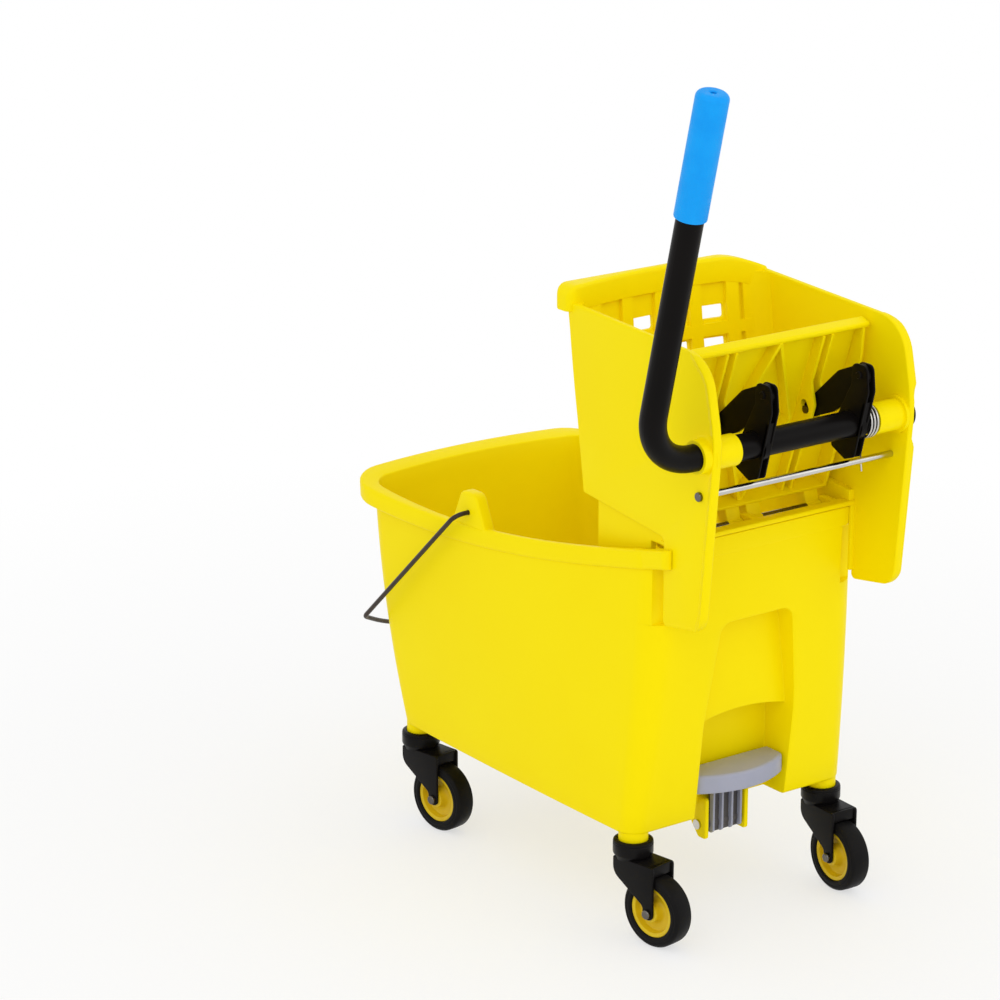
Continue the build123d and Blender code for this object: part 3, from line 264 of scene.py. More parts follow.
def addFace(shape, points):
    start = len(shape["points"])
    shape["points"].extend(points)
    shape["faces"].append(tuple(range(start, start + len(points))))


def soften(shape, points, width):
    for first, second in zip(points, points[1:]):
        shape["soft"].append((first, second, width))


def link(name, mesh):
    obj = bpy.data.objects.new(name, mesh)
    bpy.context.scene.collection.objects.link(obj)
    return obj


# the shape as one object: doubles merged, normals outward, soft edges rounded
def makeObject(name, shape, smoothAngle=40):
    mesh = bpy.data.meshes.new(name)
    mesh.from_pydata([tuple(c * mm for c in p) for p in shape["points"]], [], shape["faces"])
    work = bmesh.new()
    work.from_mesh(mesh)
    bmesh.ops.remove_doubles(work, verts=work.verts, dist=8e-6)
    bmesh.ops.dissolve_degenerate(work, dist=4e-6, edges=work.edges)
    bmesh.ops.recalc_face_normals(work, faces=work.faces)
    for width in sorted({row[2] for row in shape["soft"]}):
        work.verts.ensure_lookup_table()
        tree = kdtree.KDTree(len(work.verts))
        for vert in work.verts:
            tree.insert(vert.co, vert.index)
        work.verts.index_update()
        tree.balance()
        edges = set()
        for first, second, own in shape["soft"]:
            if own != width:
                continue
            ends = [work.verts[tree.find(Vector(p) * mm)[1]] for p in (first, second)]
            edge = work.edges.get(ends) if ends[0] != ends[1] else None
            if edge:
                edges.add(edge)
        bmesh.ops.bevel(work, geom=list(edges), offset=width * mm, offset_type="OFFSET", segments=3,
                        profile=0.5, affect="EDGES", clamp_overlap=True)
    work.to_mesh(mesh)
    work.free()
    mesh.shade_smooth()
    mesh.set_sharp_from_angle(angle=math.radians(smoothAngle))
    return link(name, mesh)


def finishPiece(obj, slotName, body, replaced, material=None):
    obj.data.materials.clear()
    obj.data.materials.append(material or finishes[slotName])
    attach(obj, body)
    if replaced:
        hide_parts(*replaced)
    print("piece", obj.name, len(obj.data.polygons), "faces")
    return obj


# an outline with each corner rounded to its own radius
def roundOutline(points, radii, step=9):
    result = []
    count = len(points)
    for i, (corner, radius) in enumerate(zip(points, radii)):
        here = Vector(corner)
        before = Vector(points[i - 1]) - here
        after = Vector(points[(i + 1) % count]) - here
        if radius <= 0:
            result.append(tuple(here))
            continue
        before.normalize()
        after.normalize()
        half = before.angle(after) / 2
        reach = radius / math.tan(half)
        centre = here + (before + after).normalized() * (radius / math.sin(half))
        start = here + before * reach - centre
        turn = math.pi - 2 * half
        if before.cross(after) > 0:
            turn = -turn
        steps = max(2, int(math.degrees(abs(turn)) / step))
        for k in range(steps + 1):
            angle = turn * k / steps
            c, s = math.cos(angle), math.sin(angle)
            result.append((centre.x + start.x * c - start.y * s, centre.y + start.x * s + start.y * c))
    return result


def circleOutline(u, v, radius, count=40):
    return [(u + radius * math.cos(2 * math.pi * k / count), v + radius * math.sin(2 * math.pi * k / count))
            for k in range(count)]


def signedArea(outline):
    return sum(a[0] * b[1] - b[0] * a[1] for a, b in zip(outline, outline[1:] + outline[:1])) / 2


# the outline moved inwards, for the rounded edge of a plate
def insetOutline(outline, inset):
    result = []
    count = len(outline)
    for i in range(count):
        a, b, c = outline[i - 1], outline[i], outline[(i + 1) % count]
        first = Vector((b[0] - a[0], b[1] - a[1])).normalized()
        second = Vector((c[0] - b[0], c[1] - b[1])).normalized()
        n1, n2 = Vector((-first.y, first.x)), Vector((-second.y, second.x))
        shift = (n1 + n2) / max(0.35, 1 + n1.dot(n2)) * inset
        result.append((b[0] + shift.x, b[1] + shift.y))
    return result


def xzPlace(u, v, w):
    return (u, w, v)


def xyPlace(u, v, w):
    return (u, v, w)


# a plate with any outline, real holes and softly rounded edges
def addPlate(shape, outline, place, low, high, bevel, holes=(), steps=3, lowBevel=None):
    if signedArea(outline) < 0:
        outline = outline[::-1]
    lowBevel = bevel if lowBevel is None else lowBevel
    arc = [k * math.pi / 2 / steps for k in range(steps + 1)]
    levels = [(low + lowBevel * (1 - math.sin(a)), lowBevel * (1 - math.cos(a))) for a in reversed(arc)]
    levels = levels + [(high - bevel * (1 - math.sin(a)), bevel * (1 - math.cos(a))) for a in arc]
    rows = [[place(u, v, w) for u, v in insetOutline(outline, inset)] for w, inset in levels]
    addGrid(shape, rows, closed=True)
    for hole in holes:
        addGrid(shape, [[place(u, v, w) for u, v in hole] for w in (low, high)], closed=True)
    for w, inset in (levels[0], levels[-1]):
        loops = [[(u, v, 0) for u, v in insetOutline(outline, inset)]]
        loops = loops + [[(u, v, 0) for u, v in hole] for hole in holes]
        flat = [place(p[0], p[1], w) for loop in loops for p in loop]
        if not holes:
            addFace(shape, flat)
            continue
        start = len(shape["points"])
        shape["points"].extend(flat)
        for triangle in geometry.tessellate_polygon([[Vector(p) for p in loop] for loop in loops]):
            shape["faces"].append(tuple(start + i for i in triangle))


def addBox(shape, x, y, z, bevel):
    outline = [(x[0], y[0]), (x[1], y[0]), (x[1], y[1]), (x[0], y[1])]
    addPlate(shape, roundOutline(outline, [bevel] * 4, 30), xyPlace, z[0], z[1], bevel)


# a turned form: radius and height along the axis; an open profile is capped, a closed one makes a ring
def addLathe(shape, profile, origin, axis, sides=64, closed=False):
    way = Vector(axis).normalized()
    side = way.orthogonal().normalized()
    across = way.cross(side)
    rows = []
    for radius, height in profile + (profile[:1] if closed else []):
        middle = Vector(origin) + way * height
        rows.append([tuple(middle + (side * math.cos(a) + across * math.sin(a)) * radius)
                     for a in (2 * math.pi * k / sides for k in range(sides))])
    addGrid(shape, rows, closed=True)
    if not closed:
        addFace(shape, rows[0])
        addFace(shape, rows[-1])


# a round wire or tube along a path of points
def addTube(shape, path, radius, sides=20):
    points = [Vector(p) for p in path]
    ways = []
    for i in range(len(points)):
        ways.append((points[min(i + 1, len(points) - 1)] - points[max(i - 1, 0)]).normalized())
    side = ways[0].orthogonal().normalized()
    rows = []
    for point, way in zip(points, ways):
        side = (side - way * side.dot(way)).normalized()
        across = way.cross(side)
        rows.append([tuple(point + (side * math.cos(a) + across * math.sin(a)) * radius)
                     for a in (2 * math.pi * k / sides for k in range(sides))])
    addGrid(shape, rows, closed=True)
    addFace(shape, rows[0])
    addFace(shape, rows[-1])


# both sides of the mid-plane, or one of them
def addMirror(shape, make, sides=(1, -1)):
    half = newShape()
    make(half)
    for flip in sides:
        start = len(shape["points"])
        shape["points"].extend((x, y * flip, z) for x, y, z in half["points"])
        shape["faces"].extend(tuple(start + i for i in face) for face in half["faces"])


# bucket: the tub, its lip, recess, notches, ears, posts and pedal brackets
bucket = {
    "baseZ": 116.1, "floorTop": 121.1, "kneeZ": 230.1, "brimZ": 431.1, "sideRimZ": 380.1, "frontRimZ": 396.1,
    # at the base, the knee and the brim
    "front": (204, 232, 257), "rear": (207, 220, 235), "frontHalf": (143, 150, 152),
    "rearHalf": (144, 139.5, 130), "frontR": (20, 28, 34), "rearR": (20, 26, 33), "frontBow": (4, 10, 14),
    "sideBow": (2.5, 5.8, 8),
    # how far the lip stands out: front, front corners, rear, middle of the sides, rear corners
    "lip": (20, 16, 0.3, 3.8, 5.5), "lipH": 20, "lipUnderR": 3, "lipTopR": 3.4, "wall": 4,
    "rimLowX": -140, "rimFrontX": -311, "rimRearX": 243,
    "frontSlope": 0.25, "rearSlope": 0.22, "notchX": 219, "notchY": 108, "notchFoot": 346,
    "recessBack": 205, "halfTop": 46, "halfFoot": 60, "recessTop": 333.1, "recessSplit": 226.1,
    "recessR": 12, "bayBack": 174, "bayArch": 8, "baseRound": 3, "floorRound": 7, "recessSoft": 5,
    "notchSoft": 2, "rimEdge": 1.6, "lowRows": (140, 165, 190, 205), "midRows": (240, 262, 284, 304),
    "lastRow": 338,
    "earX": -60, "earRise": 36, "earHalf": 13, "earFoot": 38, "earThick": 14, "earOut": 2, "earSoft": 2.6,
    "holeZ": 396.93744, "holeR": 2.9,
    "postX": 190, "postY": 126.5, "postR": 15.5, "postFoot": 104.6, "postH": 14, "stemR": 5.6,
    "pivot": (175, 93.1), "pivotR": 3.5, "bracketHalf": 12, "bracketDrop": 14, "bracketY": (24, 29),
    "bracketRoot": 118.6, "bracketTop": 124.1,
    "lipEnd": (190, 247), "lipEndIn": 127.8, "lipEndOut": (138.4, 135), "lipEndR": 7,
}


def sizeAt(z, key):
    b = bucket
    toBase, toKnee, toBrim = z - b["baseZ"], z - b["kneeZ"], z - b["brimZ"]
    knee, brim = b["kneeZ"] - b["baseZ"], b["brimZ"] - b["baseZ"]
    base, middle, top = b[key]
    return (base * toKnee * toBrim / (knee * brim) + middle * toBase * toBrim / (knee * (knee - brim))
            + top * toBase * toKnee / (brim * (brim - knee)))


def rimHeight(x):
    b = bucket
    if x < b["rimLowX"]:
        run = b["rimLowX"] - b["rimFrontX"]
        t = (x - b["rimFrontX"]) / run
        high = b["frontRimZ"]
        handle = high - b["frontSlope"] * run / 3
        low = b["sideRimZ"]
        return (1 - t) ** 3 * high + 3 * (1 - t) ** 2 * t * handle + (3 * (1 - t) * t * t + t ** 3) * low
    run = b["rimRearX"] - b["rimLowX"]
    t = (x - b["rimLowX"]) / run
    rise = (b["brimZ"] - b["sideRimZ"]) * (3 * t * t - 2 * t ** 3)
    return b["sideRimZ"] + rise + b["rearSlope"] * run * (t ** 3 - t * t)


def recessHalf(z, grow):
    b = bucket
    top = b["recessTop"] + grow
    part = min(1, max(0, (z - b["recessSplit"]) / (top - b["recessSplit"])))
    half = b["halfFoot"] + (b["halfTop"] - b["halfFoot"]) * part + grow
    rise = min(max(0, z - (top - b["recessR"])), b["recessR"])
    return half - b["recessR"] + math.sqrt(b["recessR"] ** 2 - rise * rise)


# columns of the half outline; the flat and inside ones are shares of the rear wall and of the recess
columns = {"front": 8, "corner": 9, "side": 24, "rearArc": 9, "flat": (0.3, 0.6, 0.85),
           "inside": (1, 0.85, 0.6, 0.3, 0)}


# one half of the tub's outline at a height, from the middle of the front round to the middle of the rear
def halfRing(z, grow, recessGrow, notch):
    front = -sizeAt(z, "front") - grow[0]
    rear = sizeAt(z, "rear") + grow[2]
    frontHalf, rearHalf = sizeAt(z, "frontHalf"), sizeAt(z, "rearHalf")
    midX, midHalf = (front + rear) / 2, (frontHalf + rearHalf) / 2 + sizeAt(z, "sideBow") + grow[3]
    frontHalf, rearHalf = frontHalf + grow[1], rearHalf + grow[-1]
    frontR, rearR = sizeAt(z, "frontR") + grow[1], sizeAt(z, "rearR") + grow[2]
    bow = sizeAt(z, "frontBow")
    bigR = (frontHalf ** 2 + bow ** 2) / (2 * bow)
    frontC = Vector((front - bow + bigR, 0))
    a, b, c = Vector((front, frontHalf)), Vector((midX, midHalf)), Vector((rear, rearHalf))
    d = 2 * (a.x * (b.y - c.y) + b.x * (c.y - a.y) + c.x * (a.y - b.y))
    sideC = Vector(((a.dot(a) * (b.y - c.y) + b.dot(b) * (c.y - a.y) + c.dot(c) * (a.y - b.y)) / d,
                    (a.dot(a) * (c.x - b.x) + b.dot(b) * (a.x - c.x) + c.dot(c) * (b.x - a.x)) / d))
    sideR = (a - sideC).length
    r1, r2 = bigR - frontR, sideR - frontR
    span = sideC - frontC
    along = (r1 * r1 - r2 * r2 + span.length_squared) / (2 * span.length)
    off = math.sqrt(max(0, r1 * r1 - along * along))
    unit = span.normalized()
    options = [frontC + unit * along + Vector((-unit.y, unit.x)) * off * s for s in (1, -1)]
    cornerC = min(options, key=lambda p: (p - a).length)
    rearX = rear - rearR
    rearC = Vector((rearX, sideC.y + math.sqrt((sideR - rearR) ** 2 - (rearX - sideC.x) ** 2)))
    ring = []
    touch = frontC + (cornerC - frontC) * (bigR / r1)
    last = math.atan2(touch.y - frontC.y, frontC.x - touch.x)
    for k in range(columns["front"]):
        angle = last * k / columns["front"]
        ring.append((frontC.x - bigR * math.cos(angle), bigR * math.sin(angle)))
    sideTouch = sideC + (cornerC - sideC) * (sideR / r2)
    first = math.atan2(touch.y - cornerC.y, touch.x - cornerC.x)
    second = math.atan2(sideTouch.y - cornerC.y, sideTouch.x - cornerC.x)
    for k in range(columns["corner"]):
        angle = first + (second - first) * k / (columns["corner"] - 1)
        ring.append((cornerC.x + frontR * math.cos(angle), cornerC.y + frontR * math.sin(angle)))
    rearTouch = sideC + (rearC - sideC) * (sideR / (sideR - rearR))
    first = math.atan2(sideTouch.y - sideC.y, sideTouch.x - sideC.x)
    second = math.atan2(rearTouch.y - sideC.y, rearTouch.x - sideC.x)
    for k in range(1, columns["side"]):
        angle = first + (second - first) * k / columns["side"]
        ring.append((sideC.x + sideR * math.cos(angle), sideC.y + sideR * math.sin(angle)))
    start = math.atan2(rearTouch.y - rearC.y, rearTouch.x - rearC.x)
    notchX, notchY = bucket["notchX"] - recessGrow, bucket["notchY"] - recessGrow
    inX, inY = math.radians(66), math.radians(22)
    if notch:
        inX = math.acos(min(0.9, (notchX - rearC.x) / rearR))
        inY = math.asin(max(0.1, (notchY - rearC.y) / rearR))
    between = [inX + (inY - inX) * part for part in (0, 0.25, 0.5, 0.75, 1)]
    angles = [start, (start + inX) / 2] + between + [inY / 2, 0]
    arc = [(rearC.x + rearR * math.cos(t), rearC.y + rearR * math.sin(t)) for t in angles]
    if notch:
        arc[3] = (notchX, (arc[2][1] + notchY) / 2)
        arc[4] = (notchX, notchY)
        arc[5] = ((arc[6][0] + notchX) / 2, notchY)
    ring.extend(arc)
    half = recessHalf(z, recessGrow)
    for part in columns["flat"]:
        ring.append((rear, rearC.y + (half - rearC.y) * part))
    for part in columns["inside"]:
        ring.append((rear, half * part))
    return ring


arcColumn = columns["front"] + columns["corner"] + columns["side"] - 1
edgeColumn = arcColumn + columns["rearArc"] + len(columns["flat"])
halfCount = edgeColumn + len(columns["inside"])


def fullRing(half):
    return half + [(x, -y) + tuple(rest) for x, y, *rest in half[-2:0:-1]]


# heights of a row, column by column: the rear columns keep their height, the others follow the rim
def rowHeights(foot, tops, part, upper, recessGrow):
    b = bucket
    rearTop = tops[-1]
    heights = []
    for j, top in enumerate(tops):
        share = (top - b["baseZ"]) / (rearTop - b["baseZ"])
        near = min(1, max(0, (j - (edgeColumn - 18)) / 6))
        notchFoot = b["baseZ"] + (b["notchFoot"] - recessGrow - b["baseZ"]) * (share + (1 - share) * near)
        if upper is None:
            heights.append(foot + (notchFoot - foot) * part)
        else:
            heights.append(notchFoot + (top - notchFoot) * upper)
    return heights


# the ring whose every column is at its own height
def ringAtHeights(heights, grow, recessGrow, notch):
    cache = {}
    points = []
    for j, z in enumerate(heights):
        key = round(z, 3)
        if key not in cache:
            cache[key] = halfRing(z, grow, recessGrow, notch)
        x, y = cache[key][j]
        points.append((x, y, z))
    return points


# where the rim lies over a grown outline, found by settling height against place
def rimHeights(grow, drop):
    heights = [bucket["brimZ"] - 20] * halfCount
    for step in range(5):
        ring = ringAtHeights(heights, grow, 0, False)
        heights = [rimHeight(x) - drop for x, y, z in ring]
    return heights


def wallRows(recessGrow, grow, foot, footRound, tops, upperRows):
    b = bucket
    archZ = b["recessSplit"] - b["bayArch"] + recessGrow
    top = b["recessTop"] + recessGrow
    r = b["recessR"]
    marks = [*b["lowRows"], archZ, *b["midRows"], *(top - share * r for share in (1, 0.6, 0.28, 0.08)), top,
             b["lastRow"]]
    span = b["notchFoot"] - recessGrow - foot
    rows = []
    for angle in (0, 30, 60):
        lift = footRound * (1 - math.cos(math.radians(angle)))
        shrink = footRound * (1 - math.sin(math.radians(angle)))
        less = tuple(g - shrink for g in grow)
        rows.append(("foot", ringAtHeights([foot + lift] * halfCount, less, recessGrow, False)))
    rows.append(("foot", ringAtHeights([foot + footRound] * halfCount, grow, recessGrow, False)))
    for mark in marks:
        kind = "arch" if mark == archZ else "top" if mark == top else "wall"
        heights = rowHeights(foot, tops, (mark - foot) / span, None, recessGrow)
        rows.append((kind, ringAtHeights(heights, grow, recessGrow, False)))
    heights = rowHeights(foot, tops, 1, None, recessGrow)
    rows.append(("wall", ringAtHeights(heights, grow, recessGrow, False)))
    rows.append(("notch", ringAtHeights(heights, grow, recessGrow, True)))
    for part, notch in upperRows:
        heights = rowHeights(foot, tops, None, part, recessGrow)
        rows.append(("notch", ringAtHeights(heights, grow, recessGrow, notch)))
    return rows


# a wall of rows with the rear recess and the pedal's bay let into it
def addTubWall(shape, rows, recessGrow, softRecess, softNotch):
    b = bucket
    topRow = [k for k, (kind, ring) in enumerate(rows) if kind == "top"][0]
    archRow = [k for k, (kind, ring) in enumerate(rows) if kind == "arch"][0]
    rings = [fullRing(ring) for kind, ring in rows]
    count = len(rings[0])
    otherEdge = count - edgeColumn
    addGrid(shape, rings, closed=True, skip=lambda r, c: r < topRow and edgeColumn <= c < otherEdge)
    deep, shallow = b["bayBack"] - recessGrow, b["recessBack"] - recessGrow
    backRows = []
    for k in range(topRow + 1):
        line = rings[k][edgeColumn:otherEdge + 1]
        if k == archRow:
            half = line[0][1]
            line = [(x, y, z + b["bayArch"] * (1 - (y / half) ** 2)) for x, y, z in line]
            backRows.append([(deep, y, z) for x, y, z in line])
            backRows.append([(shallow, y, z) for x, y, z in line])
        else:
            backRows.append([(deep if k < archRow else shallow, y, z) for x, y, z in line])
    addGrid(shape, backRows)
    for column, end in ((edgeColumn, 0), (otherEdge, -1)):
        for k in range(topRow):
            low = k if k <= archRow - 1 else k + 1
            quad = [rings[k][column], rings[k + 1][column], backRows[low + 1][end], backRows[low][end]]
            if k == archRow - 1:
                quad = [rings[k][column], rings[k + 1][column], backRows[archRow + 1][end],
                        backRows[archRow][end], backRows[k][end]]
            addFace(shape, quad)
        soften(shape, [rings[k][column] for k in range(topRow + 1)], softRecess)
        soften(shape, [row[end] for row in backRows], softRecess)
    across = rings[topRow][edgeColumn:otherEdge + 1]
    addGrid(shape, [across, backRows[-1]])
    soften(shape, across, softRecess)
    soften(shape, backRows[-1], softRecess)
    soften(shape, backRows[archRow], softRecess)
    soften(shape, backRows[archRow + 1], softRecess)
    notchRow = [k for k, (kind, ring) in enumerate(rows) if kind == "notch"][0]
    for side in (1, -1):
        pick = (lambda k, c: rings[k][c]) if side > 0 else (lambda k, c: rings[k][-c])
        foot = [pick(notchRow - 1, arcColumn + c) for c in range(2, 7)]
        soften(shape, foot, softNotch)
        for c in (2, 6):
            soften(shape, [pick(k, arcColumn + c) for k in range(notchRow, len(rows))], softNotch)
    return rings, backRows


def makeBucket():
    b = bucket
    shape = newShape()
    none = (0, 0, 0, 0)
    thin = (-b["wall"],) * 4
    lipFoot = rimHeights(none, b["lipH"])
    outer = wallRows(0, none, b["baseZ"], b["baseRound"], lipFoot, [(0.35, True), (0.7, True), (1.0, True)])
    rings, backRows = addTubWall(shape, outer, 0, b["recessSoft"], b["notchSoft"])
    base = rings[0]
    addFace(shape, base[:edgeColumn] + backRows[0] + base[len(base) - edgeColumn + 1:])
    innerTop = rimHeights(thin, b["rimEdge"])
    inner = wallRows(b["wall"], thin, b["floorTop"], b["floorRound"], innerTop,
                     [(0.35, True), (0.75, True), (0.76, False), (1.0, False)])
    innerRings, innerBack = addTubWall(shape, inner, b["wall"], b["recessSoft"], b["notchSoft"])
    base = innerRings[0]
    addFace(shape, base[:edgeColumn] + innerBack[0] + base[len(base) - edgeColumn + 1:])
    # the lip: under side, rounded outer band and rounded top down to the inner wall
    wallTop = outer[-1][1]
    outLow = ringAtHeights(rimHeights(b["lip"], b["lipH"]), b["lip"], 0, False)
    outHigh = ringAtHeights(rimHeights(b["lip"], 0), b["lip"], 0, False)
    inHigh = ringAtHeights(rimHeights(thin, 0), thin, 0, False)
    rows = [[] for k in range(13)]
    for start, low, high, inside, last in zip(wallTop, outLow, outHigh, inHigh, inner[-1][1]):
        p0, p1, p2, p3 = (Vector(p) for p in (start, low, high, inside))
        under, topWay = p1 - p0, p3 - p2
        width, topWidth = under.length, topWay.length
        up = (p2 - p1).normalized()
        lowR = min(b["lipUnderR"], 0.8 * width)
        topR = min(b["lipTopR"], 0.4 * topWidth)
        edgeR = b["rimEdge"]
        side, inward = under.normalized(), topWay.normalized()
        line = [p0, p1 - side * lowR]
        for angle in (30, 60, 90):
            c, s = math.cos(math.radians(angle)), math.sin(math.radians(angle))
            line.append(p1 - side * lowR * (1 - s) + up * lowR * (1 - c))
        line.append(p2 - up * topR)
        for angle in (30, 60, 90):
            c, s = math.cos(math.radians(angle)), math.sin(math.radians(angle))
            line.append(p2 - up * topR * (1 - s) + inward * topR * (1 - c))
        line.append(p3 - inward * edgeR)
        for angle in (30, 60):
            c, s = math.cos(math.radians(angle)), math.sin(math.radians(angle))
            line.append(p3 - inward * edgeR * (1 - s) - Vector((0, 0, edgeR * (1 - c))))
        line.append(last)
        for row, point in zip(rows, line):
            row.append(tuple(point))
    addGrid(shape, [fullRing(row) for row in rows], closed=True)
    return shape


def addEars(shape):
    b = bucket
    rim = rimHeight(b["earX"])
    ring = halfRing(rim, (0, 0, 0, 0), 0, False)
    outer = max(y for x, y in ring if abs(x - b["earX"]) < 14) + b["earOut"]
    x, top, foot = b["earX"], rim + b["earRise"], rim - b["lipH"] / 2
    wide, half = b["earFoot"], b["earHalf"]
    outline = roundOutline([(x - wide, foot), (x - wide + 9, rim + 1), (x - half, top), (x + half, top),
                            (x + wide - 9, rim + 1), (x + wide, foot)],
                           [0, 14, half * 0.85, half * 0.85, 14, 0])
    hole = circleOutline(x, b["holeZ"], b["holeR"], 24)
    addPlate(shape, outline, xzPlace, outer - b["earThick"], outer, b["earSoft"], [hole])


def addPost(shape, x, y):
    b = bucket
    r, tall, stem = b["postR"], b["postH"], b["stemR"]
    profile = [(stem, 0), (r - 1.5, 0), (r - 0.4, 0.4), (r, 1.5), (r, tall), (stem, tall)]
    addLathe(shape, profile, (x, y, b["postFoot"]), (0, 0, 1), 48)


def addBracket(shape):
    b = bucket
    px, pz = b["pivot"]
    half, foot, top = b["bracketHalf"], pz - b["bracketDrop"], b["bracketTop"]
    outline = roundOutline([(px - half, b["bracketRoot"]), (px - half, pz), (px, foot), (px + half, foot),
                            (px + half, top), (px - 3, top)], [0, 4, 3, 3, 3, 0])
    addPlate(shape, outline, xzPlace, *b["bracketY"], 1.2, [circleOutline(px, pz, b["pivotR"], 24)])


# the lip's end outside a wringer leg
def addLipEnd(shape):
    b = bucket
    first, last = b["lipEnd"]
    wide, narrow = b["lipEndOut"]
    rows = []
    for step in range(25):
        part = math.sin(math.pi / 2 * step / 24)
        x = first + (last - first) * part
        turn = max(0, x - (last - b["lipEndR"])) / b["lipEndR"]
        out = wide + (narrow - wide) * part - (b["lipEndR"] - 1) * (1 - math.sqrt(max(0, 1 - turn * turn)))
        top = rimHeight(x) - 0.05
        low = top - b["lipH"] + 0.1
        r = min(3.2, 0.45 * (out - b["lipEndIn"]))
        corners = [(b["lipEndIn"], low), (out, low), (out, top), (b["lipEndIn"], top)]
        ring = roundOutline(corners, [0.4, r, r, 0.4], 15)
        rows.append([(x, y, z) for y, z in ring])
    addGrid(shape, rows, closed=True)
    addFace(shape, rows[0])
    addFace(shape, rows[-1])


def makeBucketPiece():
    shape = makeBucket()
    addMirror(shape, addEars)
    addMirror(shape, addLipEnd)
    for x in (bucket["postX"], -bucket["postX"]):
        addMirror(shape, lambda half: addPost(half, x, bucket["postY"]))
    addMirror(shape, addBracket)
    return finishPiece(makeObject("bucketTub", shape, 38), "yellow_plastic", "bucket", ["bucket_body"])


makeBucketPiece()

# geometry node helpers: a tree with named inputs, evaluated once into a plain mesh


def newTree(name, inputs):
    tree = bpy.data.node_groups.new(name, "GeometryNodeTree")
    tree.interface.new_socket("Geometry", in_out="INPUT", socket_type="NodeSocketGeometry")
    for label, kind, value in inputs:
        socket = tree.interface.new_socket(label, in_out="INPUT", socket_type="NodeSocket" + kind)
        if value is not None:
            socket.default_value = value
    tree.interface.new_socket("Geometry", in_out="OUTPUT", socket_type="NodeSocketGeometry")
    return tree, tree.nodes.new("NodeGroupInput"), tree.nodes.new("NodeGroupOutput")


def treeNode(tree, kind, links=(), **settings):
    node = tree.nodes.new(kind)
    for key, value in settings.items():
        setattr(node, key, value)
    for target, source in links:
        if isinstance(source, (int, float, tuple)):
            node.inputs[target].default_value = source
        else:
            tree.links.new(source, node.inputs[target])
    return node


def treeMath(tree, operation, first, second):
    return treeNode(tree, "ShaderNodeMath", [(0, first), (1, second)], operation=operation).outputs[0]


def closeTree(tree, end, geometryOut, material):
    real = treeNode(tree, "GeometryNodeRealizeInstances", [("Geometry", geometryOut)])
    paint = treeNode(tree, "GeometryNodeSetMaterial", [("Geometry", real.outputs["Geometry"]),
                                                       ("Material", material)])
    tree.links.new(paint.outputs["Geometry"], end.inputs["Geometry"])


def runTree(obj, tree, values):
    modifier = obj.modifiers.new(tree.name, "NODES")
    modifier.node_group = tree
    for item in tree.interface.items_tree:
        if item.in_out == "INPUT" and item.name in values:
            modifier[item.identifier] = values[item.name]
    obj.update_tag()
    deps = bpy.context.evaluated_depsgraph_get()
    mesh = bpy.data.meshes.new_from_object(obj.evaluated_get(deps))
    obj.modifiers.clear()
    old = obj.data
    obj.data = mesh
    mesh.name = obj.name
    bpy.data.meshes.remove(old)
    return obj


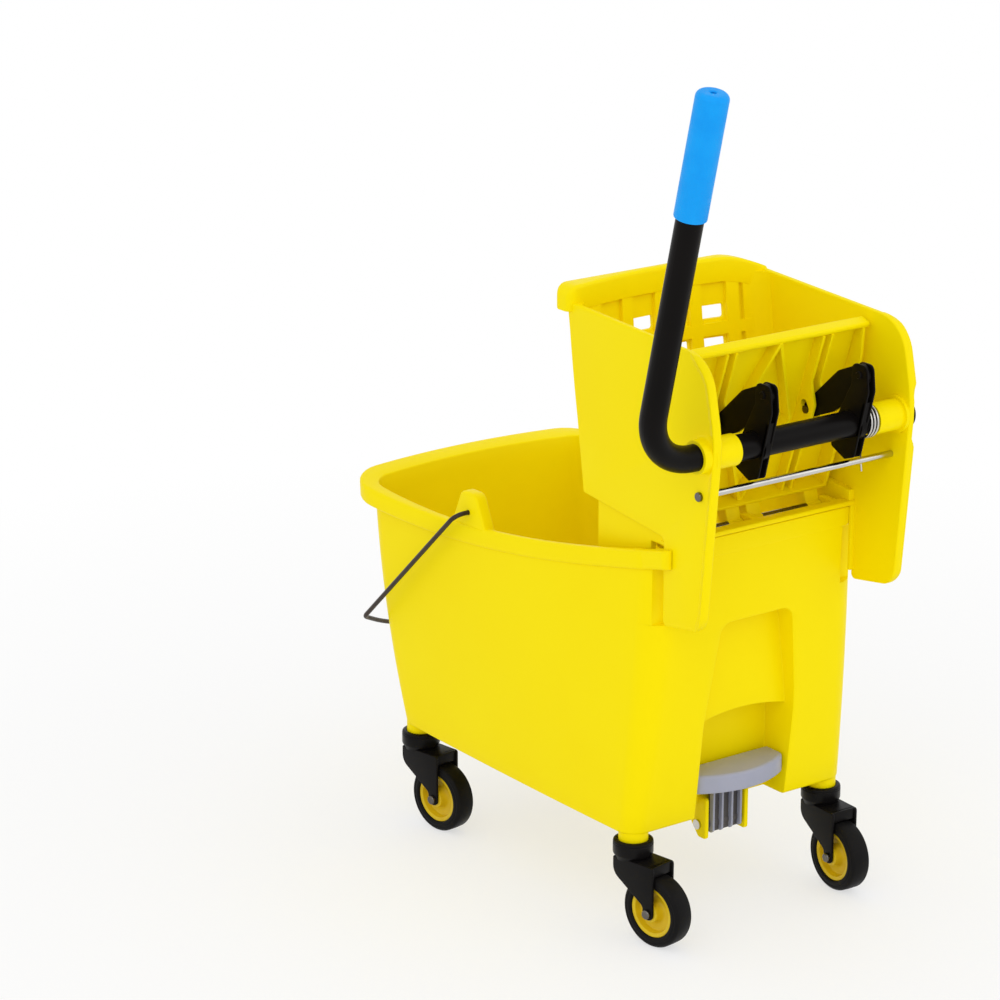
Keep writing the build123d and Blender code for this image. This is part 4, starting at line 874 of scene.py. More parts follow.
# rows of rounded holes through a wall: cutters on a grid of points, taken out of the wall
def perforationTree():
    tree, start, end = newTree("perforations", [
        ("Columns", "Int", 4), ("Rows", "Int", 4), ("Pitch Y", "Float", 0.04), ("Pitch Z", "Float", 0.03),
        ("Hole Width", "Float", 0.02), ("Hole Height", "Float", 0.02), ("Hole Radius", "Float", 0.003),
        ("Depth", "Float", 0.1), ("Centre", "Vector", (0, 0, 0)), ("Turn", "Vector", (0, 0, 0)),
        ("Material", "Material", None)])
    size = []
    for count, pitch in (("Columns", "Pitch Y"), ("Rows", "Pitch Z")):
        less = treeMath(tree, "SUBTRACT", start.outputs[count], 1)
        size.append(treeMath(tree, "MULTIPLY", less, start.outputs[pitch]))
    grid = treeNode(tree, "GeometryNodeMeshGrid", [("Size X", size[0]), ("Size Y", size[1]),
                                                   ("Vertices X", start.outputs["Columns"]),
                                                   ("Vertices Y", start.outputs["Rows"])])
    edge = treeNode(tree, "GeometryNodeCurvePrimitiveQuadrilateral", [
        ("Width", start.outputs["Hole Width"]), ("Height", start.outputs["Hole Height"])])
    soft = treeNode(tree, "GeometryNodeFilletCurve", [("Curve", edge.outputs["Curve"]), ("Count", 5),
                                                      ("Radius", start.outputs["Hole Radius"]),
                                                      ("Limit Radius", True)], mode="POLY")
    fill = treeNode(tree, "GeometryNodeFillCurve", [("Curve", soft.outputs["Curve"])], mode="NGONS")
    deep = treeNode(tree, "GeometryNodeExtrudeMesh", [("Mesh", fill.outputs["Mesh"]),
                                                      ("Offset Scale", start.outputs["Depth"])], mode="FACES")
    turned = treeNode(tree, "GeometryNodeFlipFaces", [("Mesh", fill.outputs["Mesh"])])
    whole = treeNode(tree, "GeometryNodeJoinGeometry")
    tree.links.new(turned.outputs["Mesh"], whole.inputs["Geometry"])
    tree.links.new(deep.outputs["Mesh"], whole.inputs["Geometry"])
    merged = treeNode(tree, "GeometryNodeMergeByDistance", [("Geometry", whole.outputs["Geometry"])])
    spots = treeNode(tree, "GeometryNodeMeshToPoints", [("Mesh", grid.outputs["Mesh"])])
    cutters = treeNode(tree, "GeometryNodeInstanceOnPoints", [("Points", spots.outputs["Points"]),
                                                              ("Instance", merged.outputs["Geometry"])])
    solid = treeNode(tree, "GeometryNodeRealizeInstances", [("Geometry", cutters.outputs["Instances"])])
    placed = treeNode(tree, "GeometryNodeTransform", [("Geometry", solid.outputs["Geometry"]),
                                                      ("Translation", start.outputs["Centre"]),
                                                      ("Rotation", start.outputs["Turn"])])
    cut = treeNode(tree, "GeometryNodeMeshBoolean", [("Mesh 1", start.outputs["Geometry"])],
                   operation="DIFFERENCE", solver="EXACT")
    tree.links.new(placed.outputs["Geometry"], cut.inputs["Mesh 2"])
    closeTree(tree, end, cut.outputs["Mesh"], start.outputs["Material"])
    return tree


# upright ribs in a row, with steps up their height so that they can follow a curved wall
def ribTree():
    tree, start, end = newTree("ribRow", [
        ("Count", "Int", 5), ("Pitch", "Float", 0.04), ("Rib Size", "Vector", (0.01, 0.004, 0.2)),
        ("Steps", "Int", 20), ("Centre", "Vector", (0, 0, 0)), ("Material", "Material", None)])
    less = treeMath(tree, "SUBTRACT", start.outputs["Count"], 1)
    first = treeMath(tree, "MULTIPLY", treeMath(tree, "MULTIPLY", less, -0.5), start.outputs["Pitch"])
    startAt = treeNode(tree, "ShaderNodeCombineXYZ", [("Y", first)])
    step = treeNode(tree, "ShaderNodeCombineXYZ", [("Y", start.outputs["Pitch"])])
    line = treeNode(tree, "GeometryNodeMeshLine", [("Count", start.outputs["Count"]),
                                                   ("Start Location", startAt.outputs[0]),
                                                   ("Offset", step.outputs[0])])
    bar = treeNode(tree, "GeometryNodeMeshCube", [("Size", start.outputs["Rib Size"]),
                                                  ("Vertices Z", start.outputs["Steps"])])
    bars = treeNode(tree, "GeometryNodeInstanceOnPoints", [("Points", line.outputs["Mesh"]),
                                                           ("Instance", bar.outputs["Mesh"])])
    moved = treeNode(tree, "GeometryNodeTransform", [("Geometry", bars.outputs["Instances"]),
                                                     ("Translation", start.outputs["Centre"])])
    closeTree(tree, end, moved.outputs["Geometry"], start.outputs["Material"])
    return tree


perforations = perforationTree()
ribRow = ribTree()

# wringer basket: side plates, bowed perforated front wall, floor, hook and hinge lugs
basket = {
    "shaft": (295, 541.1), "half": 121, "outer": 127, "floorZ": 455.1, "top": 665.1, "soft": 1.7,
    "plate": [(73, 648.6), (297, 637.1), (315, 556.1), (297, 359.1), (232.5, 349.1), (232.5, 441.1),
              (102, 455.1)],
    "plateRadii": [4, 42, 120, 22, 6, 6, 3],
    # the flared rear edge: distance from the edge, and height over the plate
    "edge": [(13, -0.4), (9.5, 0.2), (7, 1), (5, 2.2), (3.6, 3.5), (2.4, 4.3), (1.3, 4.5), (0.4, 4.1),
             (-0.05, 3.2)],
    "edgeFrom": (262, 349.2), "edgeFade": 26, "collarRoom": 23, "legWeb": ((232.7, 236.5), (360, 430.6)),
    "footX": 100, "topX": 71, "bow": (2.5, 45.7, -35.2), "wallThick": 4, "wallColumns": 44, "floorDepth": 60,
    "lipX": 55.5, "lipH": 26, "lipBeyond": 4.5, "cornerR": 14, "lipFall": 15, "fallFrom": 74, "lipTurn": 9,
    "ribFace": 8.5, "coveR": 23,
    "holes": {"Columns": 4, "Rows": 4, "Pitch Y": 0.0445, "Pitch Z": 0.034, "Hole Width": 0.028,
              "Hole Height": 0.0145, "Hole Radius": 0.0028, "Depth": 0.09, "Centre": (0.02, -0.003, 0.5571),
              "Turn": (math.pi / 2, 0, math.pi / 2)},
    "weeps": {"Columns": 9, "Rows": 2, "Pitch Y": 0.024, "Pitch Z": 0.024, "Hole Width": 0.01,
              "Hole Height": 0.01, "Hole Radius": 0.005, "Depth": 0.03, "Centre": (0.1308, 0, 0.44),
              "Turn": (0, 0, math.pi / 2)},
    "ribs": {"Count": 5, "Pitch": 0.0445, "Rib Size": (0.007, 0.0145, 0.192), "Steps": 24,
             "Centre": (0.005, -0.003, 0.555)},
    "bars": (489, 523.1, 557.1, 591.1), "barThick": 14, "barDepth": 6.5,
    "hinge": (205, 427.1), "hingeR": 8.5, "lugY": 104, "lugThick": 8, "boreR": 4, "bushR": 16,
    "tie": (287.8, 497.5), "tieR": 3.5,
    "boss": [(16, -2), (16, 13), (16.7, 13), (17.2, 12.5), (17.25, 11.6), (17.3, 3.5), (18.2, 1.2), (20, 0),
             (20, -2)],
    "gusset": [(120, 398), (204, 398), (206, 430.1), (226.5, 430.1), (226.5, 434), (234, 434), (234, 446.1),
               (120, 457.1)],
    "gussetY": (114.5, 121.5),
    "beamZ": (430.1, 435.1), "hookFront": 222, "hookBack": 236.5, "hookThick": 4.5, "hookHalf": 98,
    "hookFoot": 407.1,
}


def frontX(y, z, inset):
    k = basket
    part = (z - k["floorZ"]) / (k["top"] - k["floorZ"])
    foot, rise, fall = k["bow"]
    bow = foot + rise * part + fall * part * part
    return k["footX"] - (k["footX"] - k["topX"]) * part - bow * (1 - (y / k["outer"]) ** 2) + inset


# a side plate whose rear edge flares outwards, save where the shaft's collar turns
def addSidePlate(shape, collarRoom):
    k = basket
    outline = roundOutline(k["plate"], k["plateRadii"], 6)
    holes = [circleOutline(*k["shaft"], k["bushR"], 48), circleOutline(*k["tie"], k["tieR"], 20)]
    addPlate(shape, outline, xzPlace, k["half"], k["outer"], k["soft"], holes)
    rear = [p for p in outline if p[0] > k["edgeFrom"][0] and p[1] > k["edgeFrom"][1]]
    path = []
    for a, b in zip(rear, rear[1:]):
        steps = max(1, int(math.dist(a, b) / 5))
        path.extend((a[0] + (b[0] - a[0]) * s / steps, a[1] + (b[1] - a[1]) * s / steps)
                    for s in range(steps))
    path.append(rear[-1])
    run = [0]
    for a, b in zip(path, path[1:]):
        run.append(run[-1] + math.dist(a, b))
    rows = []
    for i, (x, z) in enumerate(path):
        a, b = path[max(0, i - 1)], path[min(len(path) - 1, i + 1)]
        way = Vector((b[0] - a[0], b[1] - a[1])).normalized()
        part = min(1, run[i] / k["edgeFade"], (run[-1] - run[i]) / k["edgeFade"])
        if collarRoom:
            part = min(part, max(0, (abs(z - k["shaft"][1]) - collarRoom) / 10))
        share = part * part * (3 - 2 * part)
        row = [(x + way.y * d, k["outer"] - 0.4 + (y + 0.4) * share, z - way.x * d) for d, y in k["edge"]]
        row.append((x - way.y * 0.05, k["half"] + 2.4, z + way.x * 0.05))
        row.append((x + way.y * 3, k["half"] + 2.4, z - way.x * 3))
        rows.append(row)
    addGrid(shape, rows, closed=True)
    addFace(shape, rows[0])
    addFace(shape, rows[-1])
    webX, webZ = k["legWeb"]
    addBox(shape, webX, (k["half"] - 5, k["half"] + 2), webZ, 0.8)


# the thick rolled lip along the top of the front wall, its ends rounded over the side plates
def addFrontLip(shape):
    k = basket
    count = 60
    low, high = k["top"] - k["lipH"], k["top"]
    nearEnd, farEnd = -k["outer"] - k["lipBeyond"], k["outer"] - 0.7
    rows = []
    for step in range(count + 1):
        y = (nearEnd + farEnd) / 2 - (farEnd - nearEnd) / 2 * math.cos(math.pi * step / count)
        fade = max(0, nearEnd + k["cornerR"] - y) / k["cornerR"]
        blunt = 1 - math.sqrt(max(0, 1 - fade * fade))
        fall = max(0, y - k["fallFrom"]) / (farEnd - k["fallFrom"])
        front = k["lipX"] + k["lipTurn"] * fall ** 3
        back = max(frontX(y, low, k["ribFace"] + 0.6), front + 13)
        middle = (front + back) / 2
        row = []
        for cx, cz, r, start in ((back - 4, high - 4, 4, 0), (front + 5, high - 5, 5, 90),
                                 (front + 3, low + 3, 3, 180), (back - 1, low + 1, 1, 270)):
            for turn in range(6):
                angle = math.radians(start + 18 * turn)
                x, z = cx + r * math.cos(angle), cz + r * math.sin(angle)
                row.append((x - (x - middle) * blunt * 0.6, y,
                            low - k["lipFall"] * fall ** 1.6 + (z - low) * (1 - 0.5 * blunt)))
        rows.append(row)
    addGrid(shape, rows, closed=True)
    addFace(shape, rows[0])
    addFace(shape, rows[-1])


# a level bar between two rows of holes, following the bow of the front wall
def addBar(shape, z):
    k = basket
    rows = []
    low, high = z - k["barThick"] / 2, z + k["barThick"] / 2
    for step in range(33):
        y = -k["half"] - 1 + (2 * k["half"] + 2) * step / 32
        rows.append([(frontX(y, h, k["wallThick"] / 2 + d), y, h) for d, h in
                     ((0, low), (k["barDepth"], low + 0.6), (k["barDepth"], high - 0.6), (0, high))])
    addGrid(shape, rows, closed=True)


# the soft hollow corner where the front wall meets a side plate
def addCove(shape):
    k = basket
    r = k["coveR"]
    rows = []
    for step in range(24):
        z = k["floorZ"] + 1 + (k["top"] - k["lipH"] - k["floorZ"] + 6) * step / 23
        row = []
        for turn in range(10):
            angle = math.pi / 2 * turn / 9
            y = k["half"] + 0.5 - r + r * math.sin(angle)
            row.append((frontX(k["half"] - r, z, k["ribFace"]) + r * (1 - math.cos(angle)), y, z))
        row.append((row[-1][0], k["half"] + 2, z))
        row.append((row[0][0] - 6, k["half"] + 2, z))
        row.append((row[0][0] - 6, row[0][1], z))
        rows.append(row)
    addGrid(shape, rows, closed=True)
    addFace(shape, rows[0])
    addFace(shape, rows[-1])


def addHook(shape):
    k = basket
    hx, hz = k["hinge"]
    addBox(shape, (k["hookFront"], k["hookBack"]), (-k["half"] - 2, k["half"] + 2), k["beamZ"], 1.2)
    addBox(shape, (k["hookFront"], k["hookFront"] + k["hookThick"]), (-k["hookHalf"], k["hookHalf"]),
           (k["hookFoot"], k["beamZ"][1] - 1), 1.2)
    root, r = k["hookFront"] + 2, k["hingeR"]
    outline = roundOutline([(root, hz - r), (hx, hz - r), (hx - r, hz - r), (hx - r, hz + r), (hx, hz + r),
                            (root, k["beamZ"][1])], [0, 0, 8, 8, 0, 0])
    for y in (-k["lugY"], 0, k["lugY"]):
        addPlate(shape, outline, xzPlace, y - k["lugThick"] / 2, y + k["lugThick"] / 2, 1,
                 [circleOutline(hx, hz, k["boreR"], 24)])


# a tree run on a yellow piece of the basket
def runYellow(piece, tree, values):
    return runTree(piece, tree, {**values, "Material": finishes["yellow_plastic"]})


def makeBasket():
    k = basket
    shape = newShape()
    addMirror(shape, lambda part: addSidePlate(part, 0), (-1,))
    addMirror(shape, lambda part: addSidePlate(part, k["collarRoom"]), (1,))
    addMirror(shape, lambda part: addPlate(part, k["gusset"], xzPlace, *k["gussetY"], 0.8))
    for z in k["bars"]:
        addBar(shape, z)
    addMirror(shape, addCove)
    addFrontLip(shape)
    addHook(shape)
    sx, sz = k["shaft"]
    addLathe(shape, k["boss"], (sx, -k["outer"], sz), (0, -1, 0), 56, closed=True)
    frameShape = makeObject("wringerFrame", shape, 38)
    finishPiece(frameShape, "yellow_plastic", "wringer", ["wringer_basket"])
    shell = newShape()
    levels = [k["floorZ"], k["floorZ"] + 2] + [k["floorZ"] + 10 + 8 * s for s in range(22)]
    levels.append(k["top"] - k["lipH"] + 3)
    across = k["wallColumns"]
    lines = [-k["half"] - 1 + (2 * k["half"] + 2) * s / across for s in range(across + 1)]
    faceOut = [[(frontX(y, z, 0), y, z) for y in lines] for z in levels]
    faceIn = [[(frontX(y, z, k["wallThick"]), y, z) for y in lines] for z in levels]
    addGrid(shell, faceOut)
    addGrid(shell, faceIn)
    for edge in (0, -1):
        addGrid(shell, [faceOut[edge], faceIn[edge]])
        addGrid(shell, [[row[edge] for row in faceOut], [row[edge] for row in faceIn]])
    wallPiece = makeObject("wringerFront", shell, 38)
    runYellow(wallPiece, perforations, k["holes"])
    wallPiece.data.shade_smooth()
    wallPiece.data.set_sharp_from_angle(angle=math.radians(30))
    finishPiece(wallPiece, "yellow_plastic", "wringer", ["wringer_basket"])
    tray = newShape()
    floorX = k["footX"] + 0.8
    addBox(tray, (floorX, floorX + k["floorDepth"]), (-k["half"] - 1, k["half"] + 1),
           (k["floorZ"], k["floorZ"] + 4), 0.8)
    floorPiece = runYellow(makeObject("wringerFloor", tray, 38), perforations, k["weeps"])
    finishPiece(floorPiece, "yellow_plastic", "wringer", ["wringer_basket"])
    seed = newShape()
    addBox(seed, (0, 1), (0, 1), (0, 1), 0.1)
    ribs = runYellow(makeObject("wringerRibs", seed), ribRow, k["ribs"])
    for vert in ribs.data.vertices:
        vert.co.x = frontX(vert.co.y / mm, vert.co.z / mm, vert.co.x / mm) * mm
    finishPiece(ribs, "yellow_plastic", "wringer", ["wringer_basket"])


makeBasket()

# press plate: skin, rolled top rim, frame ribs, diamond, link lugs and hinge knuckles
press = {
    "hinge": (205, 427.1), "lean": 18.6, "half": 112, "rimHalf": 117, "foot": 13, "length": 207,
    "face": -30, "skin": 4, "back": -8, "rimBack": -15, "rim": 6.5, "rib": 4, "ribDepth": 12,
    "diamond": 40, "lugY": 62, "lugIn": 4, "lugThick": 3.5, "lugRound": 10,
    "nose": (-63, 1), "shaft": (295, 541.1), "slot": (4.263, -4.977), "slotR": 4.4,
    "knuckles": (4.3, 81.7), "knuckleWide": 18, "knuckleR": 8, "boreR": 4.05,
}


def pressPlace(u, v, w):
    lean = math.radians(press["lean"])
    x = press["hinge"][0] + u * math.sin(lean) + v * math.cos(lean)
    z = press["hinge"][1] + u * math.cos(lean) - v * math.sin(lean)
    return (x, w, z)


def pressFlat(u, v, w):
    return pressPlace(v, w, u)


def toPress(x, z):
    lean = math.radians(press["lean"])
    dx, dz = x - press["hinge"][0], z - press["hinge"][1]
    return dx * math.sin(lean) + dz * math.cos(lean), dx * math.cos(lean) - dz * math.sin(lean)


def addPressBar(shape, first, second, width, low, high, bevel):
    a, b = Vector(first), Vector(second)
    way = (b - a).normalized()
    side = Vector((-way.y, way.x)) * width / 2
    outline = [tuple(a + side), tuple(a - side), tuple(b - side), tuple(b + side)]
    addPlate(shape, outline, pressFlat, low, high, bevel)


def makePress():
    p = press
    shape = newShape()
    half, low, high = p["half"], p["foot"], p["length"]
    face, back, rimBack = p["face"], p["back"], p["rimBack"]
    skinBack = face + p["skin"]
    ribBack = skinBack + p["ribDepth"]
    top = high - p["rim"]
    sheet = roundOutline([(-half, low), (half, low), (half, high - 6), (-half, high - 6)], [3] * 4)
    addPlate(shape, sheet, pressFlat, face, skinBack, 1.3)
    rim = roundOutline([(top, face), (high, face), (high, rimBack), (top, rimBack)], [1.5, 3.1, 3.1, 3.1])
    addPlate(shape, rim, pressPlace, -p["rimHalf"], p["rimHalf"], 3, steps=4)
    sill = low + p["rib"]
    foot = roundOutline([(low, face), (sill, face), (sill, back), (low, back)], [0.8, 0.8, 1.6, 1.6])
    addPlate(shape, foot, pressPlace, -half, half, 1.2)
    side = roundOutline([(low, face), (top + 2, face), (top + 2, rimBack - 1), (top - 30, back), (low, back)],
                        [2, 0.5, 0.5, 30, 2])
    for y in (-half, half - p["rib"]):
        addPlate(shape, side, pressPlace, y, y + p["rib"], 1.2)
    middle = (low + top) / 2
    for y in (p["diamond"], -p["diamond"]):
        for end in (top + 2, low + 2):
            addPressBar(shape, (0, end), (y, middle), p["rib"], skinBack - 2, ribBack, 1.1)
    noseUp, noseBack = toPress(p["shaft"][0] + p["nose"][0], p["shaft"][1] + p["nose"][1])
    r = p["lugRound"]
    lug = roundOutline([(low + 1, skinBack - 2), (low + 1, ribBack), (noseUp - 3 * r, ribBack),
                        (noseUp - r, noseBack + r), (noseUp + r, noseBack + r), (noseUp + 3 * r, ribBack),
                        (top + 1, ribBack), (top + 1, skinBack - 2)], [0, 1, 6, r * 0.7, r * 0.7, 6, 0, 0])
    slotUp, slotBack = p["slot"]
    wide = p["slotR"]
    turn = math.atan2(slotBack, slotUp)
    slot = []
    for cu, cv, start in ((noseUp + slotUp, noseBack + slotBack, turn - math.pi / 2),
                          (noseUp, noseBack, turn + math.pi / 2)):
        turns = [start + math.pi * s / 10 for s in range(11)]
        slot.extend((cu + wide * math.cos(t), cv + wide * math.sin(t)) for t in turns)
    r = p["knuckleR"]
    knuckle = roundOutline([(-r, -r), (low + 1, face + 1), (low + 1, back - 1), (-r, r)], [7.5, 0, 0, 7.5])
    bore = circleOutline(0, 0, p["boreR"], 24)

    def lugs(part):
        for inner in (p["lugY"] - p["lugIn"] - p["lugThick"], p["lugY"] + p["lugIn"]):
            addPlate(part, lug, pressPlace, inner, inner + p["lugThick"], 0.8, [slot])
        for y in p["knuckles"]:
            addPlate(part, knuckle, pressPlace, y, y + p["knuckleWide"], 1, [bore])

    addMirror(shape, lugs)
    finishPiece(makeObject("pressPlate", shape, 38), "yellow_plastic", "press_plate", ["press_plate"])


makePress()

# pedal: moon-shaped pad on a ribbed block painted dark grey as the shade between the ribs, hub and drain arm
pedal = {
    "pivot": (175, 93.1), "top": 163.1, "depth": 20, "half": 58, "front": 180, "end": 206, "rear": 224,
    "padSoft": 3.6, "blockHalf": 19.5, "blockThick": 3, "ribBack": 188, "ribThick": 2.6, "foot": 84.1,
    "hubR": 9, "hubHalf": 23.7, "boreR": 3.6, "drain": (99, 90.1), "armHalf": 14, "armH": 11,
    "forkHalf": 7.6, "forkEnd": 111.8, "pinR": 2.5,
}


def makePedal():
    p = pedal
    pad = newShape()
    bulge = p["rear"] - p["end"]
    bigR = (p["half"] ** 2 + bulge ** 2) / (2 * bulge)
    span = math.asin(p["half"] / bigR)
    curve = []
    for step in range(29):
        angle = -span + 2 * span * step / 28
        curve.append((p["rear"] - bigR + bigR * math.cos(angle), bigR * math.sin(angle)))
    corners = [(p["front"], -p["half"]), *curve, (p["front"], p["half"])]
    outline = roundOutline(corners, [4, 7] + [0] * 27 + [7, 4], 12)
    addPlate(pad, outline, xyPlace, p["top"] - p["depth"], p["top"], p["padSoft"], steps=4, lowBevel=1.6)
    finishPiece(makeObject("pedalPad", pad, 40), "grey_plastic", "pedal", ["pedal"])
    block = newShape()
    half = p["blockHalf"]
    high = p["top"] - 6
    addBox(block, (p["front"], p["front"] + p["blockThick"]), (-half, half), (p["foot"], high), 0.8)
    px, pz = p["pivot"]
    hub = circleOutline(px, pz, p["hubR"], 40)
    addPlate(block, hub, xzPlace, -p["hubHalf"], p["hubHalf"], 1.2, [circleOutline(px, pz, p["boreR"], 24)])
    dx, dz = p["drain"]
    tip = dx - 7
    under, over = dz - p["armH"] / 2, dz + p["armH"] / 2
    arm = roundOutline([(tip, under), (px, under), (px, over), (tip, over)], [4, 0, 0, 4])
    for y in ((p["forkHalf"], p["armHalf"]), (-p["armHalf"], -p["forkHalf"])):
        addPlate(block, arm, xzPlace, y[0], y[1], 1, [circleOutline(dx, dz, p["pinR"], 20)])
    addBox(block, (p["forkEnd"], px), (-p["forkHalf"] - 2, p["forkHalf"] + 2), (under, over), 0.8)
    # the block takes a dark grey that paints the shade in the hollows between the ribs
    finishPiece(makeObject("pedalBlock", block, 40), "grey_plastic", "pedal", ["pedal"], paintedShadePlastic)
    ribs = newShape()
    corners = [(p["front"], p["foot"]), (p["ribBack"], p["foot"]), (p["ribBack"], high), (p["front"], high)]
    face = roundOutline(corners, [0, 4.5, 0, 0])
    for y in (-half, -half / 3 - p["ribThick"] / 2, half / 3 - p["ribThick"] / 2, half - p["ribThick"]):
        addPlate(ribs, face, xzPlace, y, y + p["ribThick"], 0.5)
    finishPiece(makeObject("pedalRibs", ribs, 40), "grey_plastic", "pedal", ["pedal"])


# painted shade: a dark grey for the pedal's block, standing in for the shadow between its ribs
paintedShadeLook = dict(looks["grey_plastic"])
paintedShadeLook.update({"colour": rgb(70, 68, 70), "cloudColour": rgb(84, 80, 78)})
paintedShadePlastic = skinMaterial("paintedShadePlastic", paintedShadeLook)
makePedal()

# rocker arms on the shaft, and the flat links from their crank pins to the press plate
arms = {
    "shaft": (295, 541.1), "y": 62, "cheekIn": 3.0, "cheekOut": 5.0, "hubR": 17.5, "boreR": 13.5, "pinR": 4,
    "crank": (12.5, 53), "nose": (-63, 1), "linkThick": 5,
    "cheek": [(1.5, 64), (23.5, 64), (26.5, 38), (8, -33), (-6, -38), (-27, -28), (-17, 8), (1.5, 42)],
    "cheekRadii": [7, 7, 10, 5, 3, 4, 8, 8],
    "web": [(22, 26), (13, -10), (10, -10), (19, 26)],
}


def makeArms():
    a = arms
    sx, sz = a["shaft"]
    cheek = roundOutline([(sx + u, sz + v) for u, v in a["cheek"]], a["cheekRadii"], 8)
    web = [(sx + u, sz + v) for u, v in a["web"]]
    bore = circleOutline(sx, sz, a["boreR"], 40)
    crank = (sx + a["crank"][0], sz + a["crank"][1])
    nose = (sx + a["nose"][0], sz + a["nose"][1])
    span = math.dist(crank, nose)
    slope = math.atan2(crank[1] - nose[1], crank[0] - nose[0])
    c, s = math.cos(slope), math.sin(slope)
    flat = roundOutline([(-7.5, 7.5), (-7.5, -7.5), (30, -16), (span - 30, -16), (span + 9, -9),
                         (span + 9, 9), (span - 30, 17)], [6.75, 6.75, 16, 16, 8.1, 8.1, 17], 8)
    bar = [(nose[0] + u * c - v * s, nose[1] + u * s + v * c) for u, v in flat]
    for side, place in ((-1, "near"), (1, "far")):
        shape = newShape()
        middle = side * a["y"]
        holes = [bore, circleOutline(*crank, a["pinR"], 24)]
        addPlate(shape, cheek, xzPlace, middle + a["cheekIn"], middle + a["cheekOut"], 0.5, holes)
        addPlate(shape, cheek, xzPlace, middle - a["cheekOut"], middle - a["cheekIn"], 0.5, holes)
        addPlate(shape, web, xzPlace, middle - a["cheekOut"], middle + a["cheekOut"], 0.4)
        addLathe(shape, [(a["boreR"], -a["cheekIn"]), (a["hubR"], -a["cheekIn"]), (a["hubR"], a["cheekIn"]),
                         (a["boreR"], a["cheekIn"])], (sx, middle, sz), (0, 1, 0), 48, closed=True)
        rocker = makeObject("rockerArm_" + place, shape, 38)
        finishPiece(rocker, "black_metal", "lever", ["rocker_arm_" + place])
        shape = newShape()
        holes = [circleOutline(*crank, a["pinR"] + 0.05, 24), circleOutline(*nose, a["pinR"], 24)]
        addPlate(shape, bar, xzPlace, middle - a["linkThick"] / 2, middle + a["linkThick"] / 2, 0.7, holes)
        pushLink = makeObject("pressLink_" + place, shape, 38)
        finishPiece(pushLink, "black_metal", "links", ["press_link_" + place])


makeArms()

# torsion spring: a leg braced on the tie rod, three turns round the shaft and a hook on the far arm
spring = {
    "shaft": (295, 541.1), "tie": (7.2, 43.6), "tieR": 3.5, "wireR": 1.2, "faceGap": 0.3, "meanR": 16.5,
    "turns": 3, "legDrop": 57, "legUp": 17, "exit": 170, "yStart": 82.8, "yEnd": 70.2, "hookY": 65,
    "hookR": 2.6,
}


def springPath():
    s = spring
    sx, sz = s["shaft"]
    braceX = -(s["tie"][0] + s["tieR"] + s["wireR"] + s["faceGap"])
    reach = math.hypot(braceX, s["tie"][1])
    start = math.atan2(-s["tie"][1], braceX) - math.acos(s["meanR"] / reach)
    while start < math.pi:
        start += 2 * math.pi
    while start > 2 * math.pi:
        start -= 2 * math.pi
    total = start - math.radians(s["exit"]) + 2 * math.pi * s["turns"]
    slope = (s["yEnd"] - s["yStart"]) / (s["meanR"] * total)
    count = 150
    coil = []
    for step in range(count + 1):
        turn = start - total * step / count
        y = s["yStart"] + (s["yEnd"] - s["yStart"]) * step / count
        coil.append(Vector((sx + s["meanR"] * math.cos(turn), y, sz + s["meanR"] * math.sin(turn))))
    firstWay = Vector((math.sin(start), slope, -math.cos(start))).normalized()
    lastTurn = start - total
    lastWay = Vector((math.sin(lastTurn), slope, -math.cos(lastTurn))).normalized()
    leg = s["legDrop"] - (sz - coil[0].z)
    path = [coil[0] - firstWay * leg * (1 - step / 12) for step in range(12)] + coil
    corner = coil[-1] + lastWay * s["legUp"]
    inward = (Vector((corner.x, s["hookY"], corner.z)) - corner).normalized()
    for step in range(1, 6):
        path.append(coil[-1] + lastWay * (s["legUp"] - s["hookR"]) * step / 5)
    for step in range(1, 7):
        t = step / 6
        a = corner - lastWay * s["hookR"]
        b = corner + inward * s["hookR"]
        path.append(a * (1 - t) ** 2 + corner * 2 * t * (1 - t) + b * t * t)
    path.append(Vector((corner.x, s["hookY"], corner.z)))
    return path


def makeSpring():
    shape = newShape()
    addTube(shape, springPath(), spring["wireR"], 16)
    piece = makeObject("torsionSpring", shape, 60)
    piece.data.materials.append(finishes["steel"])
    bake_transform(piece)
    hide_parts("torsion_spring")
    print("piece", piece.name, len(piece.data.polygons), "faces")


makeSpring()

# grip: a sleeve with a rounded end over the lever's top
lever = {
    "foot": (295, -202, 541.1), "lean": 13.9, "length": 389, "gripLength": 125, "gripR": 16, "gripEnd": 6,
    "tubeR": 13.5, "cap": 6, "holeR": 3,
}


def makeGrip():
    v = lever
    lean = math.radians(v["lean"])
    way = Vector((math.sin(lean), 0, math.cos(lean)))
    start = Vector(v["foot"]) + way * (v["length"] - v["gripLength"])
    r, long, end = v["gripR"], v["gripLength"], v["gripEnd"]
    profile = [(v["tubeR"] + 0.05, 0), (r - 0.8, 0), (r - 0.2, 0.25), (r, 1), (r, long - end)]
    for angle in (15, 30, 45, 60, 75, 90):
        t = math.radians(angle)
        profile.append((r - end * (1 - math.cos(t)), long - end + end * math.sin(t)))
    profile = profile + [(v["holeR"] + 1, long), (v["holeR"], long - 1), (v["holeR"], long - v["cap"]),
                         (v["tubeR"] + 0.05, long - v["cap"])]
    shape = newShape()
    addLathe(shape, profile, start, way, 64, closed=True)
    finishPiece(makeObject("leverGrip", shape, 40), "blue_grip", "lever", ["grip"])


makeGrip()

